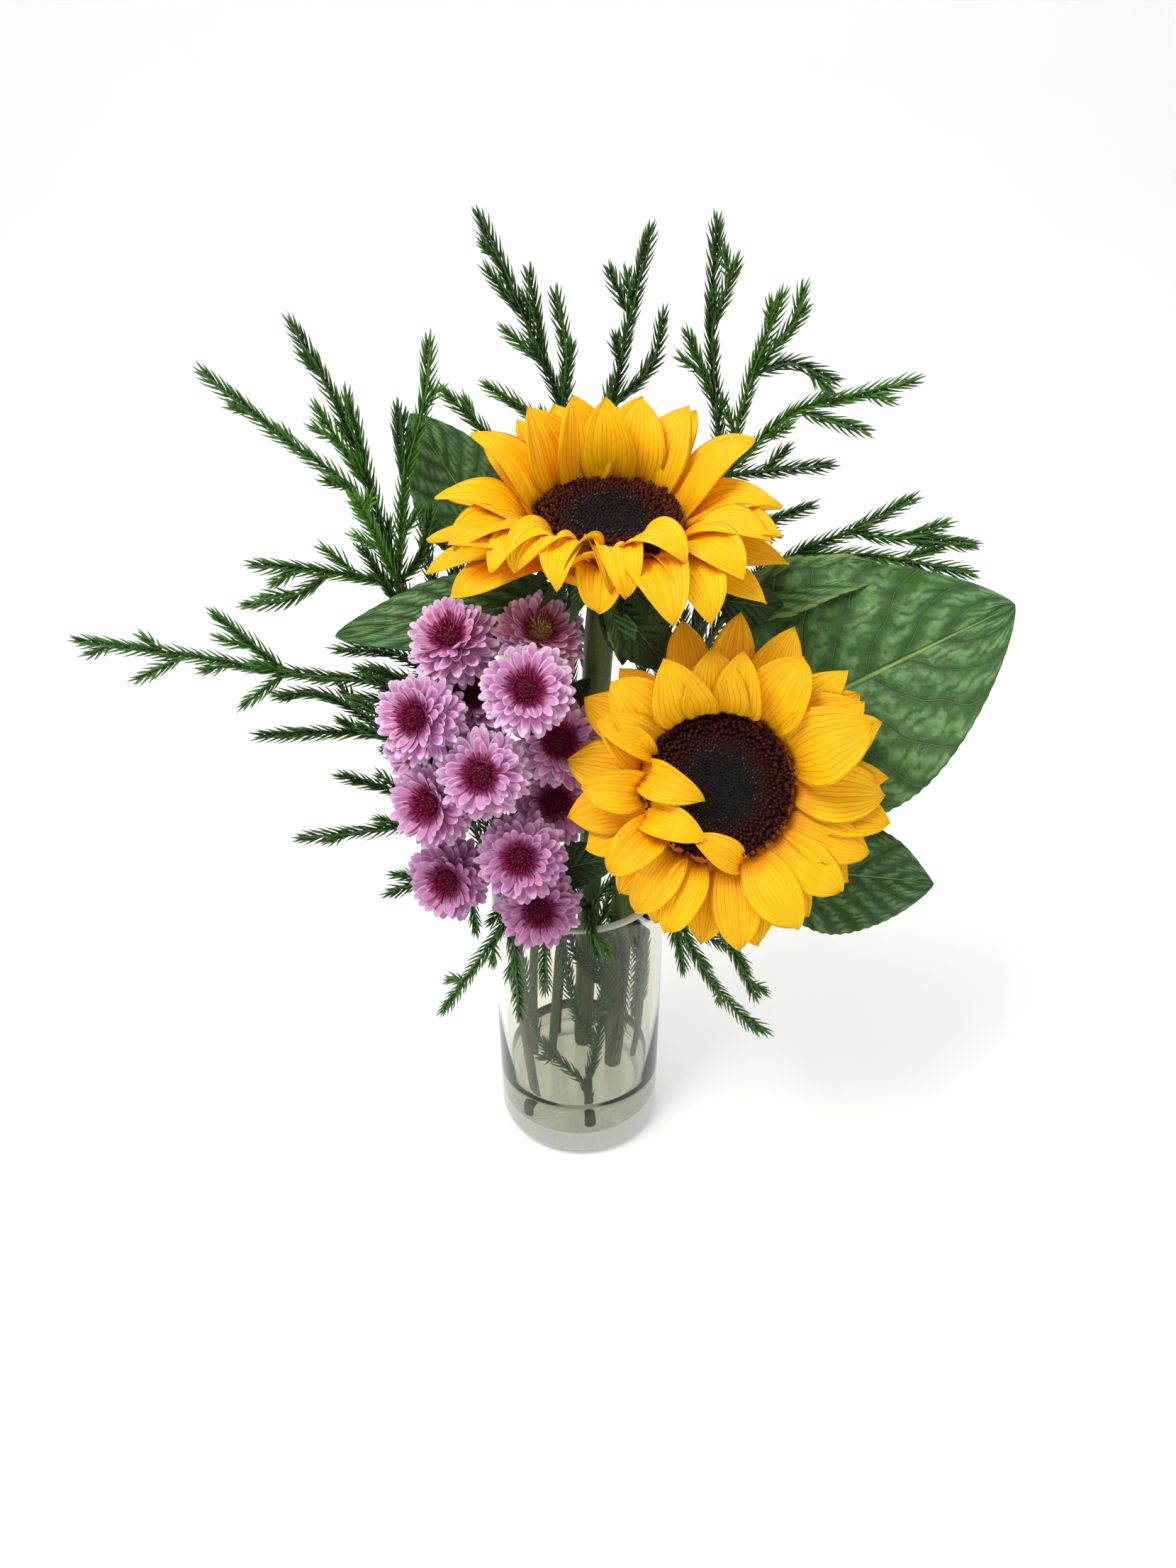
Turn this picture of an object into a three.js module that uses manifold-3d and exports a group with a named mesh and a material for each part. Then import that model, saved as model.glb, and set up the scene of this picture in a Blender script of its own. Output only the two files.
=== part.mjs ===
// Sunflowers in a glass vase, with chrysanthemums and cedar sprays. Millimetres, +Z up.
// The origin is the middle of the vase's underside, and -Y is the side that the flowers face.

import * as THREE from 'three';
import { mergeVertices } from 'three/addons/utils/BufferGeometryUtils.js';
import Module from 'manifold-3d';

const wasm = await Module();
wasm.setup();

// ---------------------------------------------------------------------------------------
// Driving dimensions
// ---------------------------------------------------------------------------------------

// Clearance between pieces that touch
const GAP = 0.3;

// Edges shorter than this are merged where bodies cross
const SHORTEST_EDGE = 0.05;

// Vase: a straight cylinder with a thick floor, and a little water in it
const VASE_RADIUS = 40;
const VASE_HEIGHT = 150;
const VASE_WALL = 3.5;
const VASE_FLOOR = 15;
const VASE_HEEL = 8;
const VASE_INNER_FILLET = 2.5;
const VASE_SIDES = 30;
const WATER_LEVEL = 35;
const STEM_FOOT = VASE_FLOOR + GAP;

// Sunflower heads, in each head's own frame: the disc's rim is at height 0, facing +Z
const DISC_RADIUS = 28;
const DISC_DOME = 3;
const DISC_DEPTH = 5;
const DISC_BUMP = 0.9;
const DISC_SECTORS = 20;
const PLATE_RADIUS = 32.5;
const PLATE_THICKNESS = 4;
const CALYX_DEPTH = 14;
const SUNFLOWER_STEM_RADIUS = 4.6;
const PETAL_THICKNESS = 1.2;

// Chrysanthemum heads, in each head's own frame: facing +Z
const MUM_PETALS = 9;
const MUM_BACK = 6;
const MUM_EYE_SIDES = 8;
const MUM_STEM_RADIUS = 2.1;
const MUM_TWIG_RADIUS = 1.1;

// Cedar: three-sided twigs with a needle on each face of each step
const TWIG_STEP = 12;
const TWIG_RADIUS = 1.1;
const TWIG_TURN = 0.45;
const SHARP_BEND = 0.42;
const NEEDLE_OUT = 3.1;
const NEEDLE_AHEAD = 3.6;

const LEAF_THICKNESS = 0.8;
const PETIOLE_RADIUS = 1.5;

const UPPER_HEAD = {
  centre: [12, -5, 324],
  normal: [0, -0.17, 0.985],
};
const LOWER_HEAD = {
  centre: [54, -60, 240],
  normal: [-0.06, -0.81, 0.58],
};

// ---------------------------------------------------------------------------------------
// Bodies: a body is its points and the triangles between them
// ---------------------------------------------------------------------------------------

const vector = ([x, y, z]) => new THREE.Vector3(x, y, z);

function signedVolume({ points, triangles }) {
  let sum = 0;
  const cross = new THREE.Vector3();
  for (const [a, b, c] of triangles) {
    sum += cross.crossVectors(points[b], points[c]).dot(points[a]) / 6;
  }
  return sum;
}

function solidOf(body) {
  const outward = signedVolume(body) > 0;
  const triangles = outward ? body.triangles : body.triangles.map(([a, b, c]) => [a, c, b]);
  const vertProperties = new Float32Array(body.points.flatMap((point) => point.toArray()));
  const triVerts = new Uint32Array(triangles.flat());
  return new wasm.Manifold(new wasm.Mesh({ numProp: 3, vertProperties, triVerts }));
}

// The body of a three.js geometry, with its shared vertices merged and its slivers dropped
function bodyOf(geometry) {
  geometry.deleteAttribute('normal');
  geometry.deleteAttribute('uv');
  const merged = mergeVertices(geometry, 1e-4);
  const position = merged.getAttribute('position');
  const points = [];
  for (let i = 0; i < position.count; i += 1) {
    points.push(new THREE.Vector3().fromBufferAttribute(position, i));
  }
  const triangles = [];
  const index = merged.getIndex();
  for (let i = 0; i < index.count; i += 3) {
    const [a, b, c] = [index.getX(i), index.getX(i + 1), index.getX(i + 2)];
    if (a !== b && b !== c && c !== a) {
      triangles.push([a, b, c]);
    }
  }
  return { points, triangles };
}

function placed(body, matrix) {
  const points = body.points.map((point) => point.clone().applyMatrix4(matrix));
  return { points, triangles: body.triangles };
}

// One solid from bodies that run into each other: sealed hollows between them are filled, and
// the slivers where they cross are merged away
function joined(bodies) {
  const union = bodies.map(solidOf).reduce((sum, next) => sum.add(next));
  const shells = union.simplify(SHORTEST_EDGE).decompose();
  return shells.reduce((best, next) => (next.volume() > best.volume() ? next : best));
}

// A grid of points whose columns run round an axis, closed by a point at each end
function latticeBody(firstPole, rings, lastPole) {
  const columns = rings[0].length;
  const points = [firstPole, ...rings.flat(), lastPole];
  const last = points.length - 1;
  const at = (ring, column) => 1 + ring * columns + (column % columns);
  const triangles = [];
  for (let column = 0; column < columns; column += 1) {
    triangles.push([0, at(0, column + 1), at(0, column)]);
    for (let ring = 0; ring < rings.length - 1; ring += 1) {
      triangles.push([at(ring, column), at(ring, column + 1), at(ring + 1, column + 1)]);
      triangles.push([at(ring, column), at(ring + 1, column + 1), at(ring + 1, column)]);
    }
    triangles.push([at(rings.length - 1, column), at(rings.length - 1, column + 1), last]);
  }
  return { points, triangles };
}

// A turned body about +Z from a profile of [radius, height] that starts and ends on the axis
function turned(profile, sides) {
  const outline = profile.map(([radius, height]) => new THREE.Vector2(radius, height));
  const geometry = new THREE.LatheGeometry(outline, sides);
  geometry.rotateX(Math.PI / 2);
  return bodyOf(geometry);
}

// Points of an arc from one angle to another, in degrees, about a centre
function arc([centreX, centreY], radius, from, to, steps) {
  const points = [];
  for (let i = 0; i <= steps; i += 1) {
    const angle = THREE.MathUtils.degToRad(from + ((to - from) * i) / steps);
    points.push([centreX + radius * Math.cos(angle), centreY + radius * Math.sin(angle)]);
  }
  return points;
}

const routeOf = (points) => new THREE.CatmullRomCurve3(points.map(vector));

// A plain round stem or petiole along a route
function stemBody(points, radius, sides, stepLength) {
  const outline = new THREE.Shape();
  for (let side = 0; side < sides; side += 1) {
    const angle = (2 * Math.PI * side) / sides;
    const [x, y] = [radius * Math.cos(angle), radius * Math.sin(angle)];
    if (side === 0) {
      outline.moveTo(x, y);
    } else {
      outline.lineTo(x, y);
    }
  }
  outline.closePath();
  const route = routeOf(points);
  const steps = Math.max(2, Math.round(route.getLength() / stepLength));
  return bodyOf(new THREE.ExtrudeGeometry(outline, {
    steps, bevelEnabled: false, extrudePath: route,
  }));
}

// The turn and shift that carry a head's own frame to its place, with its +Y kept upward
function headMatrix({ centre, normal }) {
  const facing = vector(normal).normalize();
  const across = new THREE.Vector3(1, 0, 0).addScaledVector(facing, -facing.x).normalize();
  const upward = new THREE.Vector3().crossVectors(facing, across);
  return new THREE.Matrix4().makeBasis(across, upward, facing).setPosition(...centre);
}

// ---------------------------------------------------------------------------------------
// Vase and water
// ---------------------------------------------------------------------------------------

function vaseBody() {
  const rim = VASE_WALL / 2;
  const inner = VASE_RADIUS - VASE_WALL;
  return turned([
    [0, 0],
    ...arc([VASE_RADIUS - VASE_HEEL, VASE_HEEL], VASE_HEEL, -90, 0, 3),
    ...arc([VASE_RADIUS - rim, VASE_HEIGHT - rim], rim, 0, 180, 4),
    [inner, VASE_FLOOR + VASE_INNER_FILLET],
    [inner - VASE_INNER_FILLET, VASE_FLOOR],
    [0, VASE_FLOOR],
  ], VASE_SIDES);
}

// The water fills the vase to its level, with a plain hole round each stem
function waterSolid(stems) {
  const radius = VASE_RADIUS - VASE_WALL - GAP;
  const bottom = VASE_FLOOR + GAP;
  let water = solidOf(turned([
    [0, bottom],
    [radius - VASE_INNER_FILLET, bottom],
    [radius, bottom + VASE_INNER_FILLET],
    [radius, WATER_LEVEL],
    [0, WATER_LEVEL],
  ], VASE_SIDES));
  for (const { points, radius: stemRadius } of stems) {
    const [x, y, foot] = points[0];
    const route = [[x, y, foot - 5], ...points.slice(0, 3)];
    water = water.subtract(solidOf(stemBody(route, stemRadius * 1.12 + 2 * GAP, 6, 12)));
  }
  return water.simplify(SHORTEST_EDGE);
}

// ---------------------------------------------------------------------------------------
// Petals and leaves
// ---------------------------------------------------------------------------------------

// A petal in a head's own frame. It leaves the root at an azimuth and a lift (degrees), bends
// by a number of degrees on its way, and is thick at its middle line and thin at its edges.
function petalBody({ azimuth, length, width, lift, bend, root, rows = 3, cup = 0.22 }) {
  const turn = THREE.MathUtils.degToRad(azimuth);
  const outward = new THREE.Vector3(Math.cos(turn), Math.sin(turn), 0);
  const sideways = new THREE.Vector3(-Math.sin(turn), Math.cos(turn), 0);
  const upward = new THREE.Vector3(0, 0, 1);
  const middle = outward.clone().multiplyScalar(root[0]).addScaledVector(upward, root[1]);
  const points = [];
  for (let row = 0; row < rows; row += 1) {
    const share = row / rows;
    const angle = THREE.MathUtils.degToRad(lift + bend * share);
    const normal = outward.clone().multiplyScalar(-Math.sin(angle));
    normal.addScaledVector(upward, Math.cos(angle));
    const fullness = row === 0 && rows > 1 ? 0.4 : Math.sin(Math.PI * Math.max(share, 0.2) ** 0.8) ** 0.6;
    const half = (width / 2) * fullness;
    const raised = middle.clone().addScaledVector(normal, row === 0 ? 0 : cup * half);
    points.push(raised.clone().addScaledVector(sideways, -half));
    points.push(middle.clone().addScaledVector(normal, PETAL_THICKNESS / 2));
    points.push(raised.clone().addScaledVector(sideways, half));
    points.push(middle.clone().addScaledVector(normal, -PETAL_THICKNESS / 2));
    const next = THREE.MathUtils.degToRad(lift + (bend * (row + 0.5)) / rows);
    middle.addScaledVector(outward, (Math.cos(next) * length) / rows);
    middle.addScaledVector(upward, (Math.sin(next) * length) / rows);
  }
  points.push(middle);
  const tip = points.length - 1;
  const triangles = [[0, 1, 2], [0, 2, 3]];
  for (let row = 0; row < rows; row += 1) {
    for (let corner = 0; corner < 4; corner += 1) {
      const near = 4 * row + corner;
      const nearNext = 4 * row + ((corner + 1) % 4);
      if (row === rows - 1) {
        triangles.push([nearNext, near, tip]);
      } else {
        triangles.push([nearNext, near, near + 4]);
        triangles.push([nearNext, near + 4, nearNext + 4]);
      }
    }
  }
  return { points, triangles };
}

// The directions along, across and up from a leaf's blade
function leafAxes({ base, tip, facing }) {
  const along = vector(tip).sub(vector(base));
  const side = vector(facing).cross(along).normalize();
  return { along, side, up: along.clone().cross(side).normalize() };
}

// A leaf: an egg-shaped blade from its base to its tip, arched along its length, folded up
// from the midrib and waved towards its toothed edge, with both faces alike.
function leafBody(leaf) {
  const { base, tip, width, arch, fold, wave, rows, columns } = leaf;
  const { along, side, up } = leafAxes(leaf);
  const half = columns / 2;
  const top = [];
  for (let row = 0; row < rows; row += 1) {
    const share = row / rows;
    const tooth = row % 2 === 0 ? 0.96 : 1.05;
    const fullness = row === 0 ? 0.12 : Math.sin(Math.PI * share ** 0.72) ** 0.75;
    for (let column = -half; column <= half; column += 1) {
      const across = column / half;
      const edge = Math.abs(across) === 1 ? tooth : 1;
      const reach = (width / 2) * fullness * across * edge;
      const wavy = wave * Math.sin(5 * Math.PI * share + 2 * across) * across ** 2;
      const height = 4 * arch * share * (1 - share) + fold * Math.abs(reach) + wavy;
      const point = vector(base).addScaledVector(along, share);
      top.push(point.addScaledVector(side, reach).addScaledVector(up, height));
    }
  }
  top.push(vector(tip));
  const sunk = up.clone().multiplyScalar(-LEAF_THICKNESS);
  const points = [...top, ...top.map((point) => point.clone().add(sunk))];
  const under = top.length;
  const last = top.length - 1;
  const stride = columns + 1;
  const triangles = [];
  const addFace = (a, b, c) => {
    triangles.push([a, b, c], [a + under, c + under, b + under]);
  };
  const addRim = (a, b) => {
    triangles.push([a, a + under, b + under], [a, b + under, b]);
  };
  for (let row = 0; row < rows; row += 1) {
    for (let column = 0; column < columns; column += 1) {
      const near = row * stride + column;
      if (row === rows - 1) {
        addFace(near, near + 1, last);
      } else {
        addFace(near, near + 1, near + stride + 1);
        addFace(near, near + stride + 1, near + stride);
      }
    }
    const farLeft = row === rows - 1 ? last : (row + 1) * stride;
    const farRight = row === rows - 1 ? last : (row + 1) * stride + columns;
    addRim(farLeft, row * stride);
    addRim(row * stride + columns, farRight);
  }
  for (let column = 0; column < columns; column += 1) {
    addRim(column, column + 1);
  }
  return { points, triangles };
}

// ---------------------------------------------------------------------------------------
// Sunflowers
// ---------------------------------------------------------------------------------------

// A steady scatter between -1 and 1 for the piece of a given number
function scatter(number) {
  const wide = Math.sin(number * 12.9898) * 43758.5453;
  return 2 * (wide - Math.floor(wide)) - 1;
}

// A share from 0 to 1 that peaks where the azimuth meets the given one
function towards(azimuth, peak) {
  return Math.max(0, Math.cos(THREE.MathUtils.degToRad(azimuth - peak)));
}

// The disc: rings of bumps, one for each floret, over a shallow dome
function discSolid() {
  const circle = (radius, heightAt) => {
    const ring = [];
    for (let sector = 0; sector < DISC_SECTORS; sector += 1) {
      const angle = (2 * Math.PI * sector) / DISC_SECTORS;
      const [x, y] = [radius * Math.cos(angle), radius * Math.sin(angle)];
      ring.push(new THREE.Vector3(x, y, heightAt(sector)));
    }
    return ring;
  };
  const rings = [circle(DISC_RADIUS - 0.5, () => -DISC_DEPTH), circle(DISC_RADIUS, () => 0)];
  const spacing = 4;
  for (let step = 1; DISC_RADIUS - step * spacing > 2; step += 1) {
    const radius = DISC_RADIUS - step * spacing;
    const dome = DISC_DOME * (1 - (radius / DISC_RADIUS) ** 4);
    rings.push(circle(radius, (sector) => dome + DISC_BUMP * ((sector + step) % 2)));
  }
  const below = new THREE.Vector3(0, 0, -DISC_DEPTH);
  return solidOf(latticeBody(below, rings, new THREE.Vector3(0, 0, DISC_DOME)));
}

// The plate that the petals grow from, under the disc
function plateBody() {
  const top = -DISC_DEPTH - GAP;
  const bottom = top - PLATE_THICKNESS;
  return turned([[0, bottom], [PLATE_RADIUS, bottom], [PLATE_RADIUS, top], [0, top]], 24);
}

function layerOfPetals({ count, start, root, length, width, shapeAt }) {
  const petals = [];
  for (let petal = 0; petal < count; petal += 1) {
    const azimuth = start + (360 * petal) / count + 3 * scatter(petal + start);
    const { lift, bend } = shapeAt(azimuth);
    petals.push(petalBody({
      azimuth,
      length: length * (1 + 0.06 * scatter(petal + 40)),
      width: width * (1 + 0.06 * scatter(petal + 80)),
      lift: lift + 4 * scatter(petal + 120),
      bend,
      root,
    }));
  }
  return petals;
}

// Upper head: a cup open to the front. The back petals stand up and the front ones hang.
function upperPetals() {
  const outer = (azimuth) => ({
    lift: 6 + 38 * towards(azimuth, 90) - 22 * towards(azimuth, 270),
    bend: 6 * towards(azimuth, 90) - 45 * towards(azimuth, 280),
  });
  const inner = (azimuth) => ({
    lift: 26 + 32 * towards(azimuth, 90) - 16 * towards(azimuth, 270),
    bend: -12 - 30 * towards(azimuth, 285) + 12 * towards(azimuth, 90),
  });
  const curled = [238, 262].map((azimuth) => petalBody({
    azimuth, length: 34, width: 14, lift: 72, bend: 110, root: [31, -7.3], rows: 4,
  }));
  return joined([
    plateBody(),
    ...layerOfPetals({
      count: 18, start: 4, root: [27, -7.9], length: 42, width: 16, shapeAt: outer,
    }),
    ...layerOfPetals({
      count: 12, start: 12, root: [29, -6.7], length: 40, width: 18, shapeAt: inner,
    }),
    ...curled,
  ]);
}

// Lower head: open to the front, with the petals at its left folded in over the disc
function lowerPetals() {
  const outer = (azimuth) => ({
    lift: 4 + 8 * towards(azimuth, 90) - 10 * towards(azimuth, 270),
    bend: -8 - 14 * towards(azimuth, 270),
  });
  const inner = (azimuth) => ({
    lift: 24 + 8 * towards(azimuth, 90) + 14 * towards(azimuth, 180),
    bend: -10 - 10 * towards(azimuth, 290),
  });
  const curled = [146, 172, 198, 226].map((azimuth) => petalBody({
    azimuth, length: 36, width: 16, lift: 68, bend: 100, root: [31, -7.3], rows: 4,
  }));
  return joined([
    plateBody(),
    ...layerOfPetals({
      count: 18, start: 7, root: [27, -7.9], length: 38, width: 15.5, shapeAt: outer,
    }),
    ...layerOfPetals({
      count: 12, start: 0, root: [29, -6.7], length: 35, width: 17, shapeAt: inner,
    }),
    ...curled,
  ]);
}

// The green back of a head, with its ring of pointed bracts
function calyxBodies(head, lift) {
  const top = -DISC_DEPTH - PLATE_THICKNESS - 2 * GAP;
  const cup = turned([
    [0, top - CALYX_DEPTH],
    [SUNFLOWER_STEM_RADIUS + 1, top - CALYX_DEPTH],
    [22, top - 6],
    [29, top],
    [0, top],
  ], 16);
  const bodies = [cup];
  const bracts = 8;
  for (let bract = 0; bract < bracts; bract += 1) {
    bodies.push(petalBody({
      azimuth: (360 * bract) / bracts + 8 * scatter(bract),
      length: 20, width: 10, lift, bend: 0, root: [22, top - 4], rows: 1,
    }));
  }
  return bodies.map((body) => placed(body, headMatrix(head)));
}

// A petiole from a stem to the base of a leaf, and the leaf. The petiole runs on under the
// midrib to a tenth of the blade's length.
function leafOnPetiole(petiole, blade) {
  const leaf = { ...blade, base: petiole[petiole.length - 1] };
  const { along, up } = leafAxes(leaf);
  const share = 0.1;
  const intoBlade = vector(leaf.base).addScaledVector(along, share);
  intoBlade.addScaledVector(up, 4 * leaf.arch * share * (1 - share));
  return [
    stemBody([...petiole, intoBlade.toArray()], PETIOLE_RADIUS, 4, 12),
    leafBody(leaf),
  ];
}

const UPPER_STEM = [
  [2, 20, STEM_FOOT], [2, 20, 26], [4, 16, 90], [6, 12, 150], [7, 5, 215], [9, 0, 270], [12, -2, 303],
];
const LOWER_STEM = [
  [18, 4, STEM_FOOT], [18, 4, 26], [19, -4, 90], [21, -13, 150], [27, -17, 190], [40, -30, 218],
  [53.5, -48, 231],
];

function upperStem() {
  return joined([
    stemBody(UPPER_STEM, SUNFLOWER_STEM_RADIUS, 8, 24),
    ...calyxBodies(UPPER_HEAD, -35),
    ...leafOnPetiole([[8, 3, 240], [4, 9, 264], [-5, 9, 284]], {
      tip: [-96, -6, 275], facing: [-0.1, -0.82, 0.57], width: 32, arch: 5, fold: 0.12, wave: 1.5,
      rows: 8, columns: 4,
    }),
    ...leafOnPetiole([[8, 3, 240], [-6, 24, 270], [-30, 33, 292]], {
      tip: [-66, 44, 348], facing: [0.1, -0.9, 0.3], width: 42, arch: 5, fold: 0.1, wave: 1.5,
      rows: 7, columns: 4,
    }),
    ...leafOnPetiole([[9.5, -1, 277], [10, -6, 283], [11, -11, 286]], {
      tip: [16, -22, 273], facing: [0.3, -0.7, 0.6], width: 14, arch: 3, fold: 0.2, wave: 0,
      rows: 4, columns: 2,
    }),
  ]);
}

function lowerStem() {
  return joined([
    stemBody(LOWER_STEM, SUNFLOWER_STEM_RADIUS, 8, 22),
    ...calyxBodies(LOWER_HEAD, -35),
    ...leafOnPetiole([[24, -15, 172], [46, -4, 196], [66, -2, 222]], {
      tip: [170, -10, 291], facing: [-0.3, -0.85, 0.45], width: 104, arch: 9, fold: 0.12, wave: 3,
      rows: 10, columns: 4,
    }),
    ...leafOnPetiole([[22, -14, 160], [56, -26, 172], [82, -36, 180]], {
      tip: [147, -48, 183], facing: [0.1, -0.7, 0.7], width: 50, arch: 6, fold: 0.1, wave: 2,
      rows: 8, columns: 4,
    }),
    ...leafOnPetiole([[27, -17, 190], [44, -2, 240], [60, 6, 276]], {
      tip: [126, 10, 296], facing: [-0.1, -0.5, 0.85], width: 26, arch: 7, fold: 0.35, wave: 1,
      rows: 7, columns: 4,
    }),
    ...leafOnPetiole([[27, -17, 190], [41, -8, 238], [50, -2, 272], [56, 0, 288]], {
      tip: [84, -3, 284], facing: [0, -0.8, 0.6], width: 17, arch: 3, fold: 0.1, wave: 0.5,
      rows: 5, columns: 2,
    }),
  ]);
}

// ---------------------------------------------------------------------------------------
// Chrysanthemums
// ---------------------------------------------------------------------------------------

const MUM_SPRAYS = [
  {
    stem: [[-14, 8, STEM_FOOT], [-14, 8, 26], [-10, -4, 90], [-7, -17, 150], [-11, -16, 190],
      [-14, -14, 225], [-16, -13, 250]],
    heads: [
      { name: 'mum_02', centre: [-14, -18, 282], normal: [0.15, -0.45, 0.88], from: 6 },
      { name: 'mum_03', centre: [-18, -46, 274], normal: [0, -0.8, 0.6], from: 6,
        via: [-22, -26, 259] },
      { name: 'mum_05', centre: [-36, -52, 240], normal: [-0.1, -0.85, 0.5], from: 5 },
      { name: 'mum_06', centre: [-7, -33, 242], normal: [0.15, -0.75, 0.65], from: 5 },
      { name: 'mum_08', centre: [-22, -56, 203], normal: [-0.05, -0.9, 0.43], from: 4 },
      { name: 'mum_10', centre: [-16, -46, 168], normal: [0.05, -0.92, 0.4], from: 3 },
      { name: 'mum_11', centre: [-9, -26, 209], normal: [0.1, -0.85, 0.5], from: 4 },
    ],
    leaves: [
      {
        petiole: [[-7, -17, 150], [-9, -22, 162], [-10, -26, 172]],
        blade: { tip: [19, -31, 184], facing: [0, -0.75, 0.65], width: 20, arch: 3, fold: 0.1,
          wave: 0.5, rows: 5, columns: 2 },
      },
    ],
  },
  {
    stem: [[-24, 10, STEM_FOOT], [-24, 10, 26], [-22, 0, 90], [-20, -8, 150], [-34, -8, 188],
      [-42, -2, 215], [-46, 3, 238]],
    heads: [
      { name: 'mum_01', centre: [-48, -20, 281], normal: [-0.2, -0.45, 0.87], from: 6,
        via: [-50, 3, 257] },
      { name: 'mum_04', centre: [-60, -40, 258], normal: [-0.45, -0.75, 0.5], from: 6,
        via: [-66, -9, 251] },
      { name: 'mum_07', centre: [-57, -46, 222], normal: [-0.45, -0.8, 0.4], from: 5 },
      { name: 'mum_09', centre: [-53, -42, 181], normal: [-0.3, -0.9, 0.3], from: 4 },
      { name: 'mum_12', centre: [-41, -15, 253], normal: [-0.1, -0.6, 0.8], from: 6 },
      { name: 'mum_13', centre: [-63, -16, 229], normal: [-0.6, -0.7, 0.4], from: 5 },
    ],
    leaves: [],
  },
];

// Three layers of petals round a dome: each layer's tips stand out between the gaps of the next
function mumPetals() {
  const columns = 2 * MUM_PETALS;
  const ring = (tipRadius, tipHeight, gapRadius, gapHeight, shift) => {
    const points = [];
    for (let column = 0; column < columns; column += 1) {
      const isTip = (column + shift) % 2 === 0;
      const angle = (2 * Math.PI * column) / columns;
      const radius = isTip ? tipRadius : gapRadius;
      const height = isTip ? tipHeight : gapHeight;
      points.push(new THREE.Vector3(radius * Math.cos(angle), radius * Math.sin(angle), height));
    }
    return points;
  };
  const rings = [
    ring(16.8, -0.5, 13.2, -1.5, 0),
    ring(11.2, 2.2, 10.6, 1.6, 0),
    ring(14.4, 4.4, 11.4, 3.4, 1),
    ring(8.4, 5.8, 7.8, 5.4, 1),
    ring(10.8, 8.4, 8.4, 7.4, 0),
    ring(5.6, 6.2, 5.6, 6.2, 0),
  ];
  const back = new THREE.Vector3(0, 0, -MUM_BACK);
  return solidOf(latticeBody(back, rings, new THREE.Vector3(0, 0, 6.2)));
}

// The eye: a knot of short quills in the hollow of the petals
function mumEye() {
  const ring = (radius, height, jag) => {
    const points = [];
    for (let side = 0; side < MUM_EYE_SIDES; side += 1) {
      const angle = (2 * Math.PI * side) / MUM_EYE_SIDES;
      const [x, y] = [radius * Math.cos(angle), radius * Math.sin(angle)];
      points.push(new THREE.Vector3(x, y, height + jag * (side % 2)));
    }
    return points;
  };
  const bottom = 6.2 + GAP;
  const rings = [ring(4.2, bottom, 0), ring(4.8, 8, 1), ring(2.8, 9.6, 1)];
  const below = new THREE.Vector3(0, 0, bottom);
  return solidOf(latticeBody(below, rings, new THREE.Vector3(0, 0, 9.6)));
}

// A branched stem whose twigs end just behind the heads, with its leaves
function mumStem({ stem, heads, leaves }) {
  const bodies = [stemBody(stem, MUM_STEM_RADIUS, 6, 16)];
  for (const { petiole, blade } of leaves) {
    bodies.push(...leafOnPetiole(petiole, blade));
  }
  for (const { centre, normal, from, via } of heads) {
    const facing = vector(normal).normalize();
    const end = vector(centre).addScaledVector(facing, -MUM_BACK - GAP);
    const behind = end.clone().addScaledVector(facing, -8);
    const route = [stem[from], ...(via ? [via] : []), behind.toArray(), end.toArray()];
    bodies.push(stemBody(route, MUM_TWIG_RADIUS, 3, 12));
  }
  return joined(bodies);
}

// ---------------------------------------------------------------------------------------
// Cedar sprays
// ---------------------------------------------------------------------------------------

// Each spray has a woody stem and needled twigs. A twig starts on a point of the stem or of
// a twig named before it.
const LEFT_SPRAY = {
  radius: 2.3,
  stem: [[-22, -21, STEM_FOOT], [-22, -21, 26], [-27, -15, 94], [-30, -8, 150], [-34, -3, 168],
    [-39, 4, 190], [-47, 9, 215], [-58, 13, 245], [-72, 15, 288]],
  twigs: [
    [[-72, 15, 288], [-86, 16, 326], [-112, 19, 347], [-138, 20, 371]],
    [[-72, 15, 288], [-80, 20, 325], [-92, 26, 360], [-105, 30, 386]],
    [[-80, 20, 325], [-86, 25, 358]],
    [[-80, 20, 325], [-98, 22, 357]],
    [[-72, 15, 288], [-67, 20, 328], [-58, 30, 358], [-55, 33, 379]],
    [[-67, 20, 328], [-68, 26, 356]],
    [[-72, 15, 288], [-80, 4, 320], [-82, -8, 334]],
    [[-72, 15, 288], [-97, 6, 297], [-125, 0, 303]],
    [[-97, 6, 297], [-114, -2, 289], [-130, -2, 287]],
    [[-58, 13, 245], [-86, 6, 248], [-118, -3, 257], [-156, -7, 267], [-196, -10, 275]],
    [[-118, -3, 257], [-142, -5, 284]],
    [[-118, -3, 257], [-137, -5, 243]],
    [[-156, -7, 267], [-176, -10, 258]],
    [[-47, 9, 215], [-80, 6, 222], [-105, -8, 231], [-130, -15, 234]],
    [[-80, 6, 222], [-104, 0, 244], [-123, -6, 248]],
    [[-39, 4, 190], [-72, -2, 196], [-99, -15, 214]],
    [[-39, 4, 190], [-66, -6, 184], [-95, -18, 187], [-117, -25, 189]],
    [[-34, -3, 168], [-60, -10, 158], [-83, -24, 158]],
    [[-30, -8, 150], [-40, -9, 157], [-47, -12, 148], [-47, -14, 127]],
    [[-30, -8, 150], [-27, -20, 157], [-30, -33, 153], [-42, -38, 134], [-62, -35, 97]],
    [[-30, -33, 153], [-27, -43, 136], [-26, -45, 104]],
  ],
};

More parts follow.
